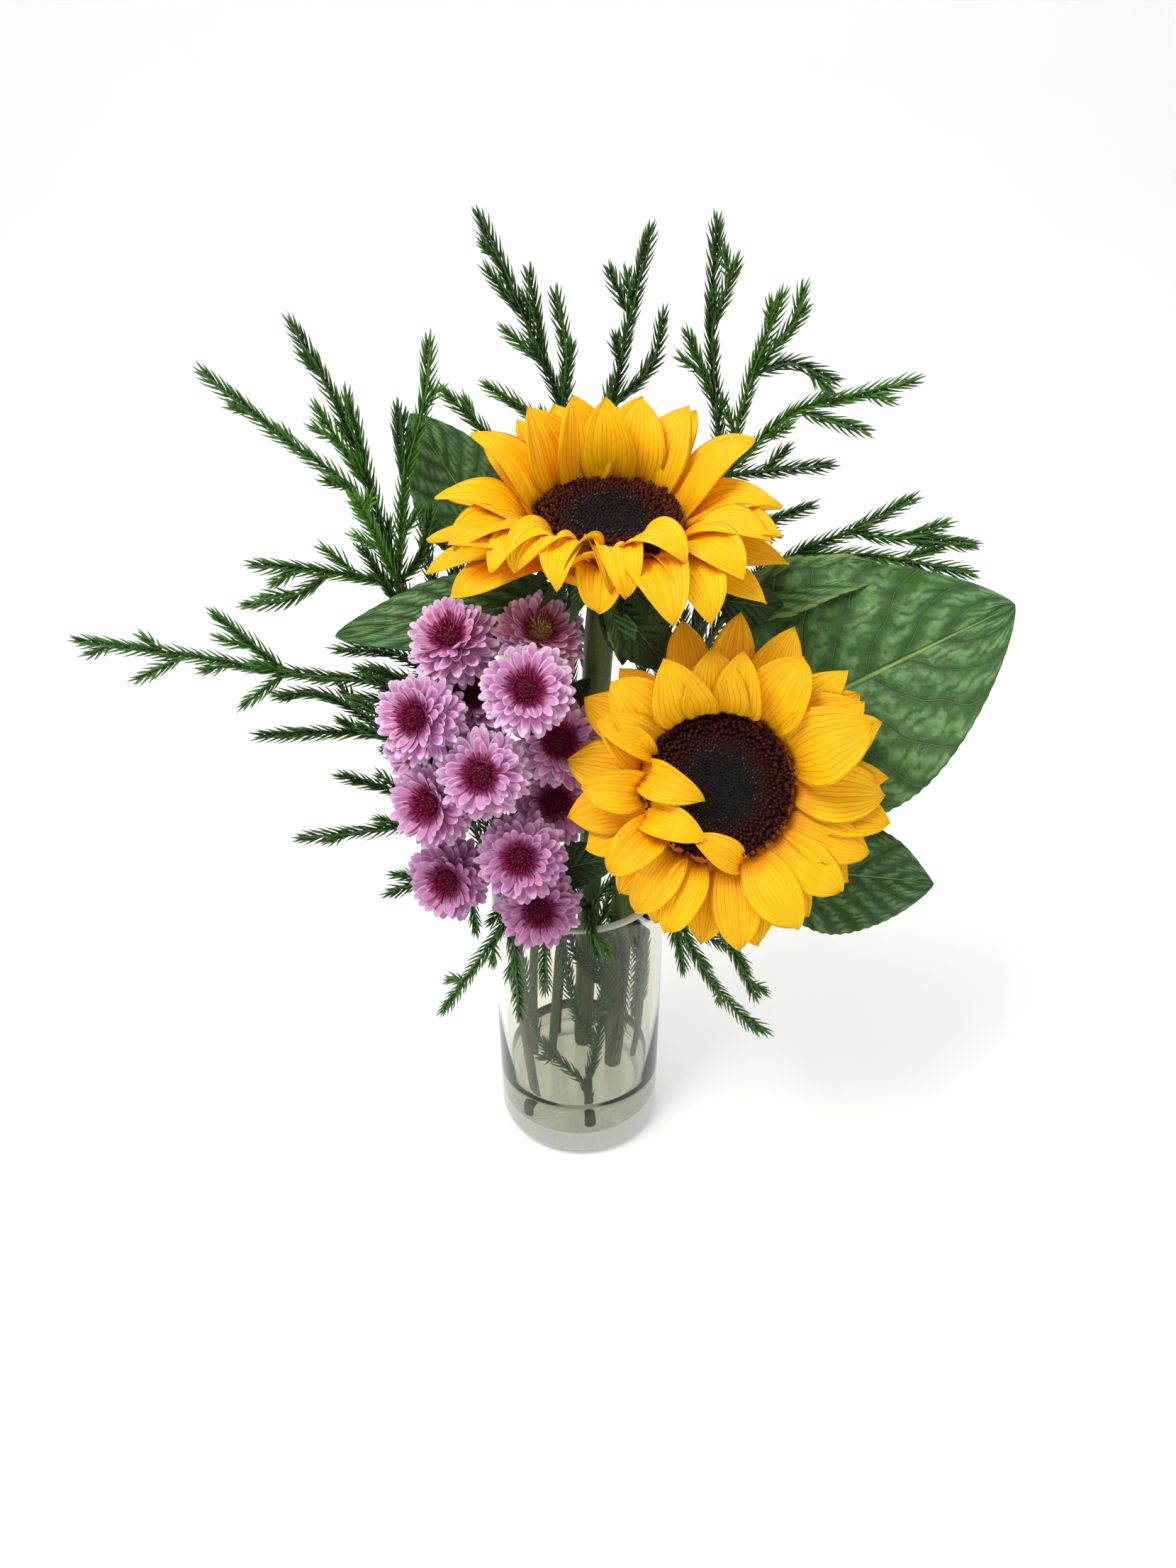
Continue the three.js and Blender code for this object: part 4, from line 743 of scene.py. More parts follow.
def leaf(form, thickness):
    """A leaf's blade and its petiole.

    The blade is an egg shape, (sin(pi s^0.72))^0.75 wide at a share s of its length, with
    blunt teeth on its edge. It arches along its length as 4 s (1 - s), folds up from the
    midrib and waves towards its edge. Side veins leave the midrib where the vein phase
    N s - k |across|^p is whole, and the blade puffs up between them in small cushions."""
    petiole, tip, facing, size, arch, fold, wave, teeth, tint = form
    base = np.array(petiole[-1], float)
    along = tip - base
    side = unit(np.cross(facing, along))
    up = unit(np.cross(along, side))
    rows, count = (
        int(np.clip(size * share, least, most)) for share, least, most in (LEAF_ROWS, LEAF_COLUMNS)
    )
    s = np.linspace(0, 1, rows, endpoint=False)
    across, face = loop_across(count // 2 * 2 + 1)
    s, across = s[:, None], across[None, :]
    full = np.maximum(np.sin(np.pi * s**0.72), 0.1 * (1 - s) ** 4) ** 0.75
    tooth = 1 + 0.5 / size * np.cos(2 * np.pi * teeth * s) * np.abs(across) ** 8
    reach = size / 2 * full * across * tooth
    phase = VEINS * s - VEIN_LEAN * np.abs(across) ** VEIN_POWER
    cushions = np.abs(np.sin(np.pi * phase)) ** 0.7
    cells = 0.3 + 0.7 * np.abs(np.sin(np.pi * (5 * across + 0.7 * np.floor(phase))))
    puff = LEAF_PUFF * size * cushions * cells * full
    puff = puff * np.clip(4 * np.abs(across), 0, 1) * np.clip(3.5 * (1 - np.abs(across)), 0, 1)
    rib = RIB_HEIGHT * np.exp(-((across * size * full / RIB_WIDTH) ** 2)) * (1 - 0.7 * s)
    lift = (
        4 * arch * s * (1 - s)
        + fold * np.abs(reach)
        + wave * np.sin(5 * np.pi * s + 2 * across) * across**2
        + wave * 0.5 * np.sin(17 * s + 7 * across) * across**4
        + puff
        - rib * np.where(face > 0, 0.4, 1.6)
    )
    thin = face * thickness / 2 * np.sqrt(np.maximum(0, 1 - across**8))
    rings = (
        base + along * s[..., None] + side * reach[..., None] + up * (lift + thin)[..., None]
    )
    blade = lattice(rings[None], (base - 0.004 * along)[None], np.array([tip], float),
                    triples(across + 0 * s, s, tint)[None])
    end = PETIOLE_REACH
    under = base + along * end + up * (4 * arch * end * (1 - end) - 0.6)
    return [blade, tube([*petiole, under], PETIOLE_RADIUS, sides=10, ribs=0.04, tint=tint,
                        finish=1, end_radius=0.6)]


# ---------------------------------------------------------------------------------------
# Sunflower heads
# ---------------------------------------------------------------------------------------

# Rings: first and last azimuth, number of petals, radius and height of the roots, width, and
# the length, lift and bend by azimuth: a value, and how much is added towards each azimuth
# that follows. Angles are in degrees: 0 is right, 90 the top or back, 270 the front
UPPER_RINGS = [
    (-34, 214, 15, 27.5, -8.0, 21.5, (42,), (14, (34, 90)), (-22, (18, 90))),
    (-24, 204, 11, 29.2, -4.0, 24, (41,), (56, (60, 90)), (-66, (4, 90))),
]
LOWER_RINGS = [
    (7, 347, 18, 27.5, -8.0, 20, (39, (-7, 185), (-4, 265)), (18, (8, 90)), (-26, (-12, 270))),
    (-82, 136, 12, 29.2, -4.5, 23, (38, (-2, 290)), (38, (64, 100)), (-68, (-34, 100))),
]
# Single petals that curl or hang: azimuth, yaw, length, width, lift, bend, twist and cup
UPPER_SINGLES = [
    (205, 0, 38, 20, 66, -105, 12, 0.4),
    (219, 8, 37, 20, 84, -140, 14, 0.35),
    (232, -6, 38, 19, 112, -190, -10, 0.4),
    (243, 14, 37, 17, 104, -185, 16, 0.5),
    (253, -16, 36, 15, 122, -212, 24, 0.6),
    (264, 18, 35, 14, 116, -215, -30, 0.6),
    (274, 6, 40, 17, 108, -196, 12, 0.5),
    (288, 26, 42, 21, 112, -158, 8, 0.2),
    (268, -50, 27, 14, 84, -128, 36, 0.5),
    (267, -4, 27, 19, 62, -150, -8, 0.5),
    (291, -4, 46, 23, 62, -116, 6, 0.3),
    (307, -8, 46, 24, 56, -122, -10, 0.35),
    (317, 0, 42, 22, 66, -108, 10, 0.3),
    (331, 6, 41, 22, 62, -84, -10, 0.35),
]
LOWER_SINGLES = [
    (148, 10, 33, 17, 98, -128, 26, 0.55),
    (170, 166, 36, 16, 84, -104, 22, 0.35),
    (163, -30, 31, 17, 88, -120, 20, 0.5),
    (184, -8, 31, 18, 90, -122, -16, 0.5),
    (200, 138, 34, 15, 82, -102, -26, 0.4),
    (214, 10, 31, 18, 86, -128, 16, 0.6),
    (236, 0, 33, 18, 68, -104, -12, 0.5),
    (254, -8, 34, 17, 60, -96, 16, 0.5),
    (286, -136, 30, 13, 82, -98, 20, 0.35),
    (22, 0, 41, 31, 84, -92, 0, 0.3),
]


def by_azimuth(azimuth, value, *peaks):
    """A value that grows by each peak's amount, times the cosine of the angle to that peak
    where it is positive."""
    return value + sum(
        amount * np.maximum(0, np.cos(np.radians(azimuth - peak))) for amount, peak in peaks
    )


def sunflower_petals(rings, singles, thickness, seed):
    """Two rings of petals, and the single ones that curl or hang, round a thin plate."""
    rng = np.random.default_rng(seed)
    low, high = PLATE_HEIGHTS
    parts = [lathe([(0, low), (PLATE_RADIUS, low), (PLATE_RADIUS, high), (0, high)], 48,
                   place=(0.4, 0.0))]
    for first, last, count, radius, height, width, length, lift, bend in rings:
        azimuth = np.linspace(first, last, count) + rng.uniform(-4, 4, count)
        parts.append(blades(
            azimuth, by_azimuth(azimuth, *length) * rng.uniform(0.92, 1.05, count),
            width * rng.uniform(0.86, 1.2, count),
            by_azimuth(azimuth, *lift) + rng.uniform(-6, 6, count),
            by_azimuth(azimuth, *bend) + rng.uniform(-10, 10, count),
            radius, height, SUNFLOWER_PETAL, thickness,
            sway=rng.uniform(-0.1, 0.1, count), twist=rng.uniform(-16, 16, count),
            cup=rng.uniform(0.1, 0.45, count), tint=rng.uniform(0, 1, count),
        ))
    azimuth, yaw, length, width, lift, bend, twist, cup = np.array(singles, float).T
    parts.append(blades(
        azimuth, length, width, lift, bend, *SINGLE_ROOT, SUNFLOWER_PETAL, thickness,
        yaw=yaw, twist=twist, cup=cup, tint=rng.uniform(0, 1, len(azimuth)),
    ))
    return parts


def spiral(count):
    """A golden-angle spiral: the share of the radius, sqrt(i / N), and the way outwards."""
    share = np.sqrt((np.arange(count) + 0.5) / count)
    return share, around(GOLDEN_ANGLE * np.arange(count))


def rods(share, outward, foot, lean, tall, end, sink, level, reach, sides, tint):
    """Slim rods on a head, leaning outwards: rings as wide as reach at shares of their
    height, closed to a point at the height end and at sink below the foot."""
    axis = outward * np.sin(lean) + np.array([0, 0, 1.0]) * np.cos(lean)
    side = unit(np.cross(axis, outward + 1e-6))
    turn = corners(sides)
    level = np.array(level)
    middle = foot[:, None] + axis[:, None] * (tall[:, None] * level)[..., None]
    rings = rounds(middle, side[:, None], np.cross(axis, side)[:, None], reach[..., None], turn)
    marks = triples(share[:, None, None], level[None, :, None] + 0 * turn, tint[:, None, None])
    return lattice(rings, foot - axis * sink, foot + axis * end[:, None], marks)


def sunflower_disc(florets, seed):
    """A low dome, D (1 - h^4) high at a share h of its radius, set with florets on a spiral.

    A floret is a five-sided bud that swells and closes to a point. The outer ones are open
    and stand up taller."""
    rng = np.random.default_rng(seed)
    rim, top = DISC_RADIUS - 0.6, -0.9
    dome = [(rim * h, DISC_DOME * (1 - h**4) + top) for h in np.linspace(1, 0, 12)]
    profile = [(0, -DISC_DEPTH), (rim - 0.5, -DISC_DEPTH), *dome[:-1], (0, DISC_DOME + top)]
    share, outward = spiral(florets)
    radius = share * (DISC_RADIUS - 1.2)
    foot = outward * radius[:, None]
    foot[:, 2] = DISC_DOME * (1 - (radius / DISC_RADIUS) ** 4) - 1.4
    opened = np.clip((share - 0.62) / 0.18, 0, 1)
    lean = np.radians(-18 * (1 - share) + 24 * opened + 50 * np.clip(share - 0.9, 0, 1))[:, None]
    lean = lean + rng.normal(0, 0.24, (florets, 1))
    tall = (1.4 + 2.2 * opened) * rng.uniform(0.7, 1.3, florets)
    swell, flare = np.array([[0.36, 0.42, 0.36, 0.16], [0.0, 0.0, 0.04, 0.2]])
    reach = DISC_RADIUS * math.sqrt(math.pi / florets) * (swell + flare * opened[:, None])
    return [
        lathe(profile, 64, tint=0.2),
        rods(share, outward, foot, lean, tall, tall * np.where(opened > 0.5, 0.72, 1.15), 0.3,
             [0.0, 0.45, 0.8, 1.0], reach, 5, rng.uniform(0, 1, florets)),
    ]


def calyx(thickness):
    """The green back of a head: a turned cup, and two rings of pointed bracts."""
    top, bottom = CALYX_TOP, CALYX_TOP - CALYX_DEPTH
    cup = lathe([
        (0, bottom), (SUNFLOWER_STEM_RADIUS + 0.6, bottom), (8, bottom + 3.5), (14, top - 9.5),
        (22, top - 6), (27, top - 2.5), (29, top), (0, top),
    ], 40, tint=0.4, place=(0.4, 0.2))
    number = np.arange(BRACTS)
    azimuth = 360 * number / BRACTS
    outer = blades(azimuth, 20, 10, -35 + 6 * np.cos(number * 2.4), 8, 20, top - 4.5,
                   BRACT, thickness * 1.4, tint=0.5 + 0.3 * np.cos(number * 1.7))
    inner = blades(azimuth + 11, 15, 9, -50, 14, 17, top - 6,
                   BRACT, thickness * 1.4, tint=0.4 + 0.3 * np.cos(number * 2.9))
    return [cup, outer, inner]


# ---------------------------------------------------------------------------------------
# Chrysanthemum heads
# ---------------------------------------------------------------------------------------

# Each layer: number of petals, length, width, lift, and height and radius of the root
MUM_LAYERS = [
    (33, 14.2, 4.5, -44, -4.2, 4.0), (33, 15.0, 4.6, -21, -2.8, 4.0),
    (31, 14.8, 4.6, -2, -1.2, 4.2), (28, 13.6, 4.5, 16, 0.4, 4.6), (22, 11.8, 4.2, 35, 1.8, 5.0),
]


def mum_petals(seed, warm):
    """Five layers of spoon petals, each steeper than the one outside it, from a short cone.
    Warm raises the tint, which makes the head pinker."""
    rng = np.random.default_rng(seed)
    parts = [lathe([(0, -MUM_BACK), (1.6, -MUM_BACK), (5.6, -3.6), (5.6, 2.6), (0, 3.4)], 20,
                   tint=0.2, place=(0.3, 0.0))]
    for number, (count, length, width, lift, height, radius) in enumerate(MUM_LAYERS):
        azimuth = 360 * (np.arange(count) + rng.uniform()) / count
        azimuth = azimuth + rng.uniform(-5, 5, count)
        parts.append(blades(
            azimuth, length * rng.uniform(0.8, 1.06, count),
            width * rng.uniform(0.8, 1.16, count),
            lift + rng.uniform(-10, 10, count), 8 + rng.uniform(-16, 16, count),
            radius, height, MUM_PETAL, 0.5,
            sway=rng.uniform(-0.1, 0.1, count), twist=rng.uniform(-24, 24, count), cup=0.42,
            tint=np.clip(number / 10 + warm + rng.uniform(-0.15, 0.15, count), 0, 1),
        ))
    return parts


def mum_eye(seed, fresh):
    """A tuft of quills on a spiral: a quill is a thin four-sided rod that swells before its
    tip, and the outer ones lean out and are longer."""
    rng = np.random.default_rng(seed)
    share, outward = spiral(MUM_QUILLS)
    lean = np.radians(52 * share**1.5 + rng.normal(0, 8, MUM_QUILLS))[:, None]
    foot = outward * (4.3 * share)[:, None] + np.array([0, 0, 3.0])
    tall = rng.uniform(3.4, 6.4, MUM_QUILLS) * (0.85 + 0.3 * share)
    tint = np.clip(fresh * (1.15 - share) + rng.uniform(-0.1, 0.1, MUM_QUILLS), 0, 1)
    return [
        lathe([(0, 2.4), (4.9, 2.6), (5.0, 3.6), (3.4, 4.8), (0, 5.4)], 16, tint=fresh * 0.5,
              place=(0, 0.1)),
        rods(share, outward, foot, lean, tall, tall, 0.2, [0.0, 0.55, 0.85],
             np.array([[0.14, 0.18, 0.34]]), 4, tint),
    ]


# ---------------------------------------------------------------------------------------
# Cedar sprays
# ---------------------------------------------------------------------------------------


def side_twigs(points, rng):
    """Short twigs that leave a twig's route to alternate sides, leaning forward."""
    centres = route(points, 1.0)
    tangents, normals, binormals = line_frames(centres)
    at = np.arange(rng.uniform(14, 24), len(centres) - 9, SIDE_TWIG_SPACING)
    if len(at) == 0:
        return []
    at = np.clip(at + rng.uniform(-3, 3, len(at)), 6, len(centres) - 4).astype(int)
    flip = np.where(np.arange(len(at)) % 2 == 0, 1.0, -1.0)[:, None]
    roll = rng.uniform(-0.9, 0.9, len(at))[:, None]
    side = flip * (binormals[at] * np.cos(roll) + normals[at] * np.sin(roll))
    lean = np.radians(rng.uniform(*SIDE_TWIG_ANGLES, len(at)))[:, None]
    size = (rng.uniform(*SIDE_TWIG_LENGTHS, len(at)) * (1 - 0.3 * at / len(centres)))[:, None]
    way = tangents[at] * np.cos(lean) + side * np.sin(lean)
    middle = centres[at] + way * size * 0.5
    end = centres[at] + way * size * 0.9 + tangents[at] * size * 0.16
    return [list(map(tuple, line)) for line in np.stack([centres[at], middle, end], axis=1)]


def needles(points, core, settings, rng, tint, bare, spread=1.0):
    """Awl needles round a twig's core, in five ranks: each needle stands two fifths of a turn
    on from the one before it, and the ranks wind slowly.

    A needle leaves the twig at the needle angle times spread and curves in towards it: at a
    share t of its length it has come t forward and t (1 - t / 4) outward of what a straight
    one would. It is a three-sided spike, and shorter towards the twig's ends."""
    centres = route(points, 1.5)
    tangents, normals, binormals = line_frames(centres)
    length = np.linalg.norm(np.diff(centres, axis=0), axis=1).sum()
    spacing = settings.needle_spacing / MM
    count = max(6, int((length - bare) / spacing))
    at = bare + (np.arange(count) + rng.uniform(0.2, 0.8, count)) * (length - bare) / count
    row = at / length * (len(centres) - 1)
    low = np.clip(np.floor(row).astype(int), 0, len(centres) - 2)
    mix = (row - low)[:, None]
    centre, tangent, normal, binormal = (
        value[low] * (1 - mix) + value[low + 1] * mix
        for value in (centres, tangents, normals, binormals)
    )
    angle = NEEDLE_TURN * np.arange(count) + 0.012 * at + rng.uniform(-0.2, 0.2, count)
    outward = unit(normal * np.cos(angle)[:, None] + binormal * np.sin(angle)[:, None])
    size = settings.needle_length / MM * rng.uniform(0.86, 1.1, count)
    size = size * np.clip(0.62 + (length - at) / 22, 0.62, 1) * np.clip(0.6 + at / 12, 0.6, 1)
    opening = settings.needle_angle * spread * np.clip(0.5 + (length - at) / 12, 0.5, 1)
    opening = opening * rng.uniform(0.88, 1.12, count)
    ahead, out = size * np.cos(opening), size * np.sin(opening)
    level = np.array([0.0, 0.33, 0.7])
    width = settings.needle_width / MM / 2 * np.array([1.0, 0.85, 0.5])
    root = centre + outward * core
    line = (
        root[:, None]
        + tangent[:, None] * (level * ahead[:, None])[..., None]
        + outward[:, None] * (level * (1 - level / 4) * out[:, None])[..., None]
    )
    side = np.cross(tangent, outward)
    other = unit(tangent * np.sin(opening)[:, None] - outward * np.cos(opening)[:, None])
    turn = corners(3) + 0.5
    rings = rounds(line, side[:, None], other[:, None], width[None, :, None], turn)
    tip = root + tangent * ahead[:, None] + outward * (0.75 * out)[:, None]
    shade = np.clip(tint + rng.uniform(-0.18, 0.18, count), 0, 1)
    marks = triples(0 * turn, level[None, :, None], shade[:, None, None])
    return lattice(rings, root - tangent * 0.2, tip, marks)


def needled_twig(points, settings, rng, tint, bare=1.5):
    """A thin green core along a route, and its needles."""
    radius, end_radius = TWIG_RADII
    core = tube(points, radius, sides=6, step=3.0, tint=tint, end_radius=end_radius)
    return [core, needles(points, NEEDLE_ROOT, settings, rng, tint, bare)]


def cedar_spray(spray, settings, seed):
    """A woody stem, needled above its foot, its needled twigs and their short side twigs."""
    rng = np.random.default_rng(seed)
    radius = spray["radius"]
    parts = [
        tube(spray["stem"], radius, sides=12, step=2.5, ribs=0.05, finish=1,
             end_radius=radius * 0.8),
        needles(spray["stem"], radius * 0.7, settings, rng, 0.2, spray["bare"], 0.7),
    ]
    for number, points in enumerate(spray["twigs"]):
        fresh = number == spray["fresh"]
        # The tint sets how much painted highlight a twig's needles take; inner twigs take less.
        tint = 1.0 if fresh else rng.uniform(0.12, 0.45)
        parts += needled_twig(points, settings, rng, tint)
        for side_points in side_twigs(points, rng):
            parts += needled_twig(side_points, settings, rng, min(1, tint + 0.12), bare=0.5)
    for points in spray["inner"]:
        parts += needled_twig(points, settings, rng, rng.uniform(0.1, 0.35))
    return parts


# ---------------------------------------------------------------------------------------
# Finishes
# ---------------------------------------------------------------------------------------


class Finish:
    """A material written step by step: each method adds nodes and returns their output."""

    def __init__(self, name):
        self.material = bpy.data.materials.new(name)
        self.material.use_nodes = True
        self.nodes = self.material.node_tree.nodes
        self.links = self.material.node_tree.links
        self.nodes.clear()

    def put(self, socket, value):
        """Links an output to a socket, or writes a plain value on it."""
        if isinstance(value, bpy.types.NodeSocket):
            self.links.new(value, socket)
        elif socket.type == "RGBA":
            socket.default_value = (*value[:3], 1.0)
        else:
            socket.default_value = value

    def add(self, kind, values=None, **settings):
        """A node of a kind, with its settings and the values of its input sockets."""
        node = self.nodes.new("ShaderNode" + kind)
        for key, value in settings.items():
            setattr(node, key, value)
        for key, value in (values or {}).items():
            self.put(node.inputs[key], value)
        return node

    def place(self):
        """Across, along and tint of the surface."""
        attribute = self.add("Attribute", attribute_name="place")
        return tuple(self.add("SeparateXYZ", {0: attribute.outputs["Vector"]}).outputs)

    def maths(self, operation, first, second=0.0):
        """One step of arithmetic."""
        return self.add("Math", {0: first, 1: second, 2: 0.0}, operation=operation).outputs[0]

    def times(self, first, second):
        return self.maths("MULTIPLY", first, second)

    def plus(self, first, second):
        return self.maths("ADD", first, second)

    def wave(self, value):
        """The size of a value's sine: 0 along each line, 1 between two lines."""
        return self.maths("ABSOLUTE", self.maths("SINE", value))

    def mix(self, share, first, second):
        """A mix of two colours."""
        node = self.add("Mix", data_type="RGBA", blend_type="MIX")
        self.put(node.inputs[0], share)
        self.put(node.inputs[6], first)
        self.put(node.inputs[7], second)
        return node.outputs[2]

    def paint(self, colour, share, *screen):
        """A share of a screen colour laid over a colour."""
        return self.mix(share, colour, screen_colour(*screen))

    def mottle(self, colour, scale, share, *screen, detail=2.0):
        """Up to a share of a screen colour laid over a colour in patches of noise."""
        return self.paint(colour, self.fade(self.noise(scale, detail), 0.3, 0.7, 0.0, share),
                          *screen)

    def fade(self, value, low, high, start=0.0, stop=1.0):
        """A value's smooth run from low to high, as a number from start to stop."""
        values = dict(enumerate((value, low, high, start, stop)))
        return self.add("MapRange", values, interpolation_type="SMOOTHSTEP").outputs[0]

    def noise(self, scale, detail=3.0, stretch=None):
        """Noise over the object's own coordinates."""
        vector = self.add("TexCoord").outputs["Object"]
        if stretch is not None:
            vector = self.add("Mapping", {"Vector": vector, "Scale": stretch}).outputs[0]
        values = {"Vector": vector, "Scale": scale, "Detail": detail}
        return self.add("TexNoise", values).outputs[0]

    def bump(self, height, strength, distance):
        """Small relief."""
        values = {"Height": height, "Strength": strength, "Distance": distance}
        return self.add("Bump", values).outputs[0]

    def surface(self, colour, roughness, normal=None, **values):
        """The shader and the output."""
        inputs = {"Base Color": colour, "Roughness": roughness}
        inputs.update({key.replace("_", " "): value for key, value in values.items()})
        if normal is not None:
            inputs["Normal"] = normal
        shader = self.add("BsdfPrincipled", inputs)
        self.add("OutputMaterial", {0: shader.outputs[0]})
        return self.material


def petal_finish(settings):
    """Deep yellow petals: warmer at the root, with fine dark veins that run lengthwise and
    meet at the tip, and noise patches of paler yellow that are a painted highlight."""
    f = Finish("sunflower_petal")
    across, along, tint = f.place()
    colour = f.mix(f.fade(along, 0.0, 0.35), settings.petal_root, settings.petal)
    colour = f.paint(colour, f.fade(tint, 0.3, 1.0, 0.0, 0.5), 250, 168, 0)
    veins = f.wave(f.times(f.plus(across, f.times(f.noise(70.0, 2.0), 0.22)), 19.0))
    lines = f.fade(veins, 0.0, 0.24, 0.8, 0.0)
    lines = f.times(lines, f.fade(f.noise(120.0), 0.3, 0.6, 0.35, 1.0))
    colour = f.paint(colour, lines, 206, 120, 0)
    # Noise patches of paler yellow: a painted highlight.
    colour = f.paint(colour, f.fade(f.noise(160.0, 4.0), 0.4, 0.75, 0.0, 0.35), 255, 212, 6)
    relief = f.plus(f.fade(veins, 0.0, 0.5), f.times(f.noise(500.0), 0.35))
    return f.surface(
        colour, f.fade(f.noise(400.0), 0.2, 0.8, 0.5, 0.65), f.bump(relief, 0.45, 0.0008),
        Specular_IOR_Level=0.25, Subsurface_Weight=0.15,
        Subsurface_Radius=(0.004, 0.002, 0.0002), Subsurface_Scale=0.5,
    )


def disc_finish(settings):
    """Dark florets: black in the middle, a ring of dusty specks, and red-brown outside, with
    painted shade that darkens each floret towards its foot and the dome between them.
    """
    f = Finish("sunflower_disc")
    ring, level, tint = f.place()
    colour = f.mix(f.fade(ring, 0.5, 0.72), settings.disc_centre, settings.disc_ring)
    # Painted shade in the gaps: each floret and the dome between them turn near black low down.
    colour = f.paint(colour, f.fade(level, 0.0, 0.8, 0.85, 0.0), 8, 3, 3)
    tips = f.times(f.fade(level, 0.7, 1.0), f.fade(tint, 0.55, 1.0, 0.0, 0.6))
    colour = f.paint(colour, f.times(tips, f.fade(ring, 0.6, 0.8)), 134, 58, 22)
    dust = f.times(f.fade(ring, 0.4, 0.5), f.fade(ring, 0.55, 0.66, 1.0, 0.0))
    colour = f.paint(colour, f.times(tips, dust), 120, 98, 46)
    grain = f.noise(1500.0)
    return f.surface(colour, f.fade(grain, 0.2, 0.8, 0.65, 0.9), f.bump(grain, 0.4, 0.0003),
                     Specular_IOR_Level=0.25)


def leaf_finish(settings):
    """Green blades with a paler midrib and side veins, quilted between them: rows of small
    cushions that noise bends and breaks, with painted shade in the gaps and a painted highlight
    on top. The tint mixes a leaf's colour in painted shade with its lit colour, and a blade
    with a high tint has a pale edge."""
    f = Finish("leaf")
    across, along, tint = f.place()
    wide = f.maths("ABSOLUTE", across)
    mottle, crinkle = f.noise(85.0, 5.0), f.noise(230.0, 3.0)
    lean = f.times(f.maths("POWER", wide, VEIN_POWER), VEIN_LEAN)
    phase = f.maths("SUBTRACT", f.times(along, VEINS), lean)
    phase = f.plus(phase, f.times(f.noise(45.0, 1.0), 0.6))
    near = f.wave(f.times(phase, math.pi))
    shift = f.times(f.noise(70.0, 2.0), 3.8)
    shift = f.plus(f.times(f.maths("FLOOR", phase), 0.7), shift)
    cell = f.wave(f.times(f.plus(f.times(across, 7.0), shift), math.pi))
    cushion = f.times(near, f.plus(f.times(cell, 0.22), 0.3))
    cushion = f.plus(cushion, f.times(crinkle, 0.75))
    vein = f.maths("MAXIMUM", f.fade(near, 0.0, 0.09, 0.5, 0.0),
                   f.fade(wide, 0.008, 0.03, 0.85, 0.0))
    # The tint mixes the painted shade colour of a leaf in the shade with the lit leaf colour.
    green = f.mix(tint, settings.leaf_dark, settings.leaf)
    # Painted shade in the gaps between the cushions, along the veins.
    green = f.paint(green, f.fade(cushion, 0.35, 0.62, 0.6, 0.0), 28, 60, 24)
    # A painted highlight on top of the cushions, strongest on leaves with a high tint.
    light = f.times(f.fade(cushion, 0.6, 0.95), f.fade(tint, 0.0, 0.7, 0.1, 0.75))
    green = f.paint(green, light, 116, 156, 98)
    green = f.paint(green, f.fade(mottle, 0.4, 0.72, 0.0, 0.3), 58, 100, 58)
    edge = f.times(f.fade(wide, 0.72, 1.0, 0.0, 0.8), f.fade(tint, 0.82, 0.9))
    colour = f.mix(f.maths("MAXIMUM", vein, edge), green, settings.vein)
    relief = f.plus(f.times(mottle, 0.6), f.maths("SUBTRACT", cushion, vein))
    return f.surface(
        colour, f.fade(mottle, 0.3, 0.7, 0.45, 0.62), f.bump(relief, 0.8, 0.002),
        Specular_IOR_Level=0.4,
        Subsurface_Weight=0.04, Subsurface_Radius=(0.001, 0.002, 0.0005), Subsurface_Scale=0.3,
    )


def stem_finish(settings):
    """Green stems with faint lengthwise streaks and short pale hairs."""
    f = Finish("stem")
    _, _, tint = f.place()
    streak = f.noise(260.0, 3.0, stretch=(1.0, 1.0, 0.08))
    colour = f.paint(settings.stem, f.fade(streak, 0.35, 0.7), 62, 92, 34)
    # Darker at a low tint, which on a petiole is its leaf's painted shade.
    colour = f.paint(colour, f.fade(tint, 0.0, 1.0, 0.3, 0.0), 40, 62, 22)
    hairs = f.noise(1400.0, 2.0)
    colour = f.paint(colour, f.fade(hairs, 0.62, 0.72, 0.0, 0.4), 170, 180, 120)
    return f.surface(colour, 0.55, f.bump(f.plus(streak, hairs), 0.3, 0.0005))


def mum_petal_finish(settings):
    """Lilac petals, deep at the root and pale along the edge, with thin stripes, and a painted
    shade that makes the low heads a little deeper, where the heads above shade them."""
    f = Finish("mum_petal")
    across, along, tint = f.place()
    wide = f.maths("ABSOLUTE", across)
    colour = f.mix(f.fade(along, 0.1, 0.6), settings.petal_root, settings.petal)
    colour = f.paint(colour, f.fade(tint, 0.15, 0.9, 0.0, 0.65), 214, 100, 146)
    stripe = f.wave(f.times(across, 8.0))
    colour = f.paint(colour, f.fade(stripe, 0.0, 0.45, 0.3, 0.0), 176, 84, 160)
    edge = f.maths("MAXIMUM", f.fade(wide, 0.55, 1.0, 0.0, 0.9),
                   f.fade(along, 0.7, 1.0, 0.0, 0.8))
    edge = f.times(edge, f.fade(along, 0.15, 0.5))
    colour = f.mix(edge, colour, settings.petal_edge)
    colour = f.paint(colour, f.fade(f.noise(140.0), 0.4, 0.7, 0.0, 0.25), 232, 180, 224)
    # Painted shade on the low heads: below 0.27 m they turn deeper mauve, half at 0.19 m.
    height = f.add("SeparateXYZ", {0: f.add("TexCoord").outputs["Object"]}).outputs[2]
    colour = f.paint(colour, f.fade(height, 0.19, 0.27, 0.5, 0.0), 178, 104, 158)
    return f.surface(
        colour, 0.5, f.bump(stripe, 0.15, 0.0003),
        Subsurface_Weight=0.12, Subsurface_Radius=(0.002, 0.001, 0.0015), Subsurface_Scale=0.4,
    )


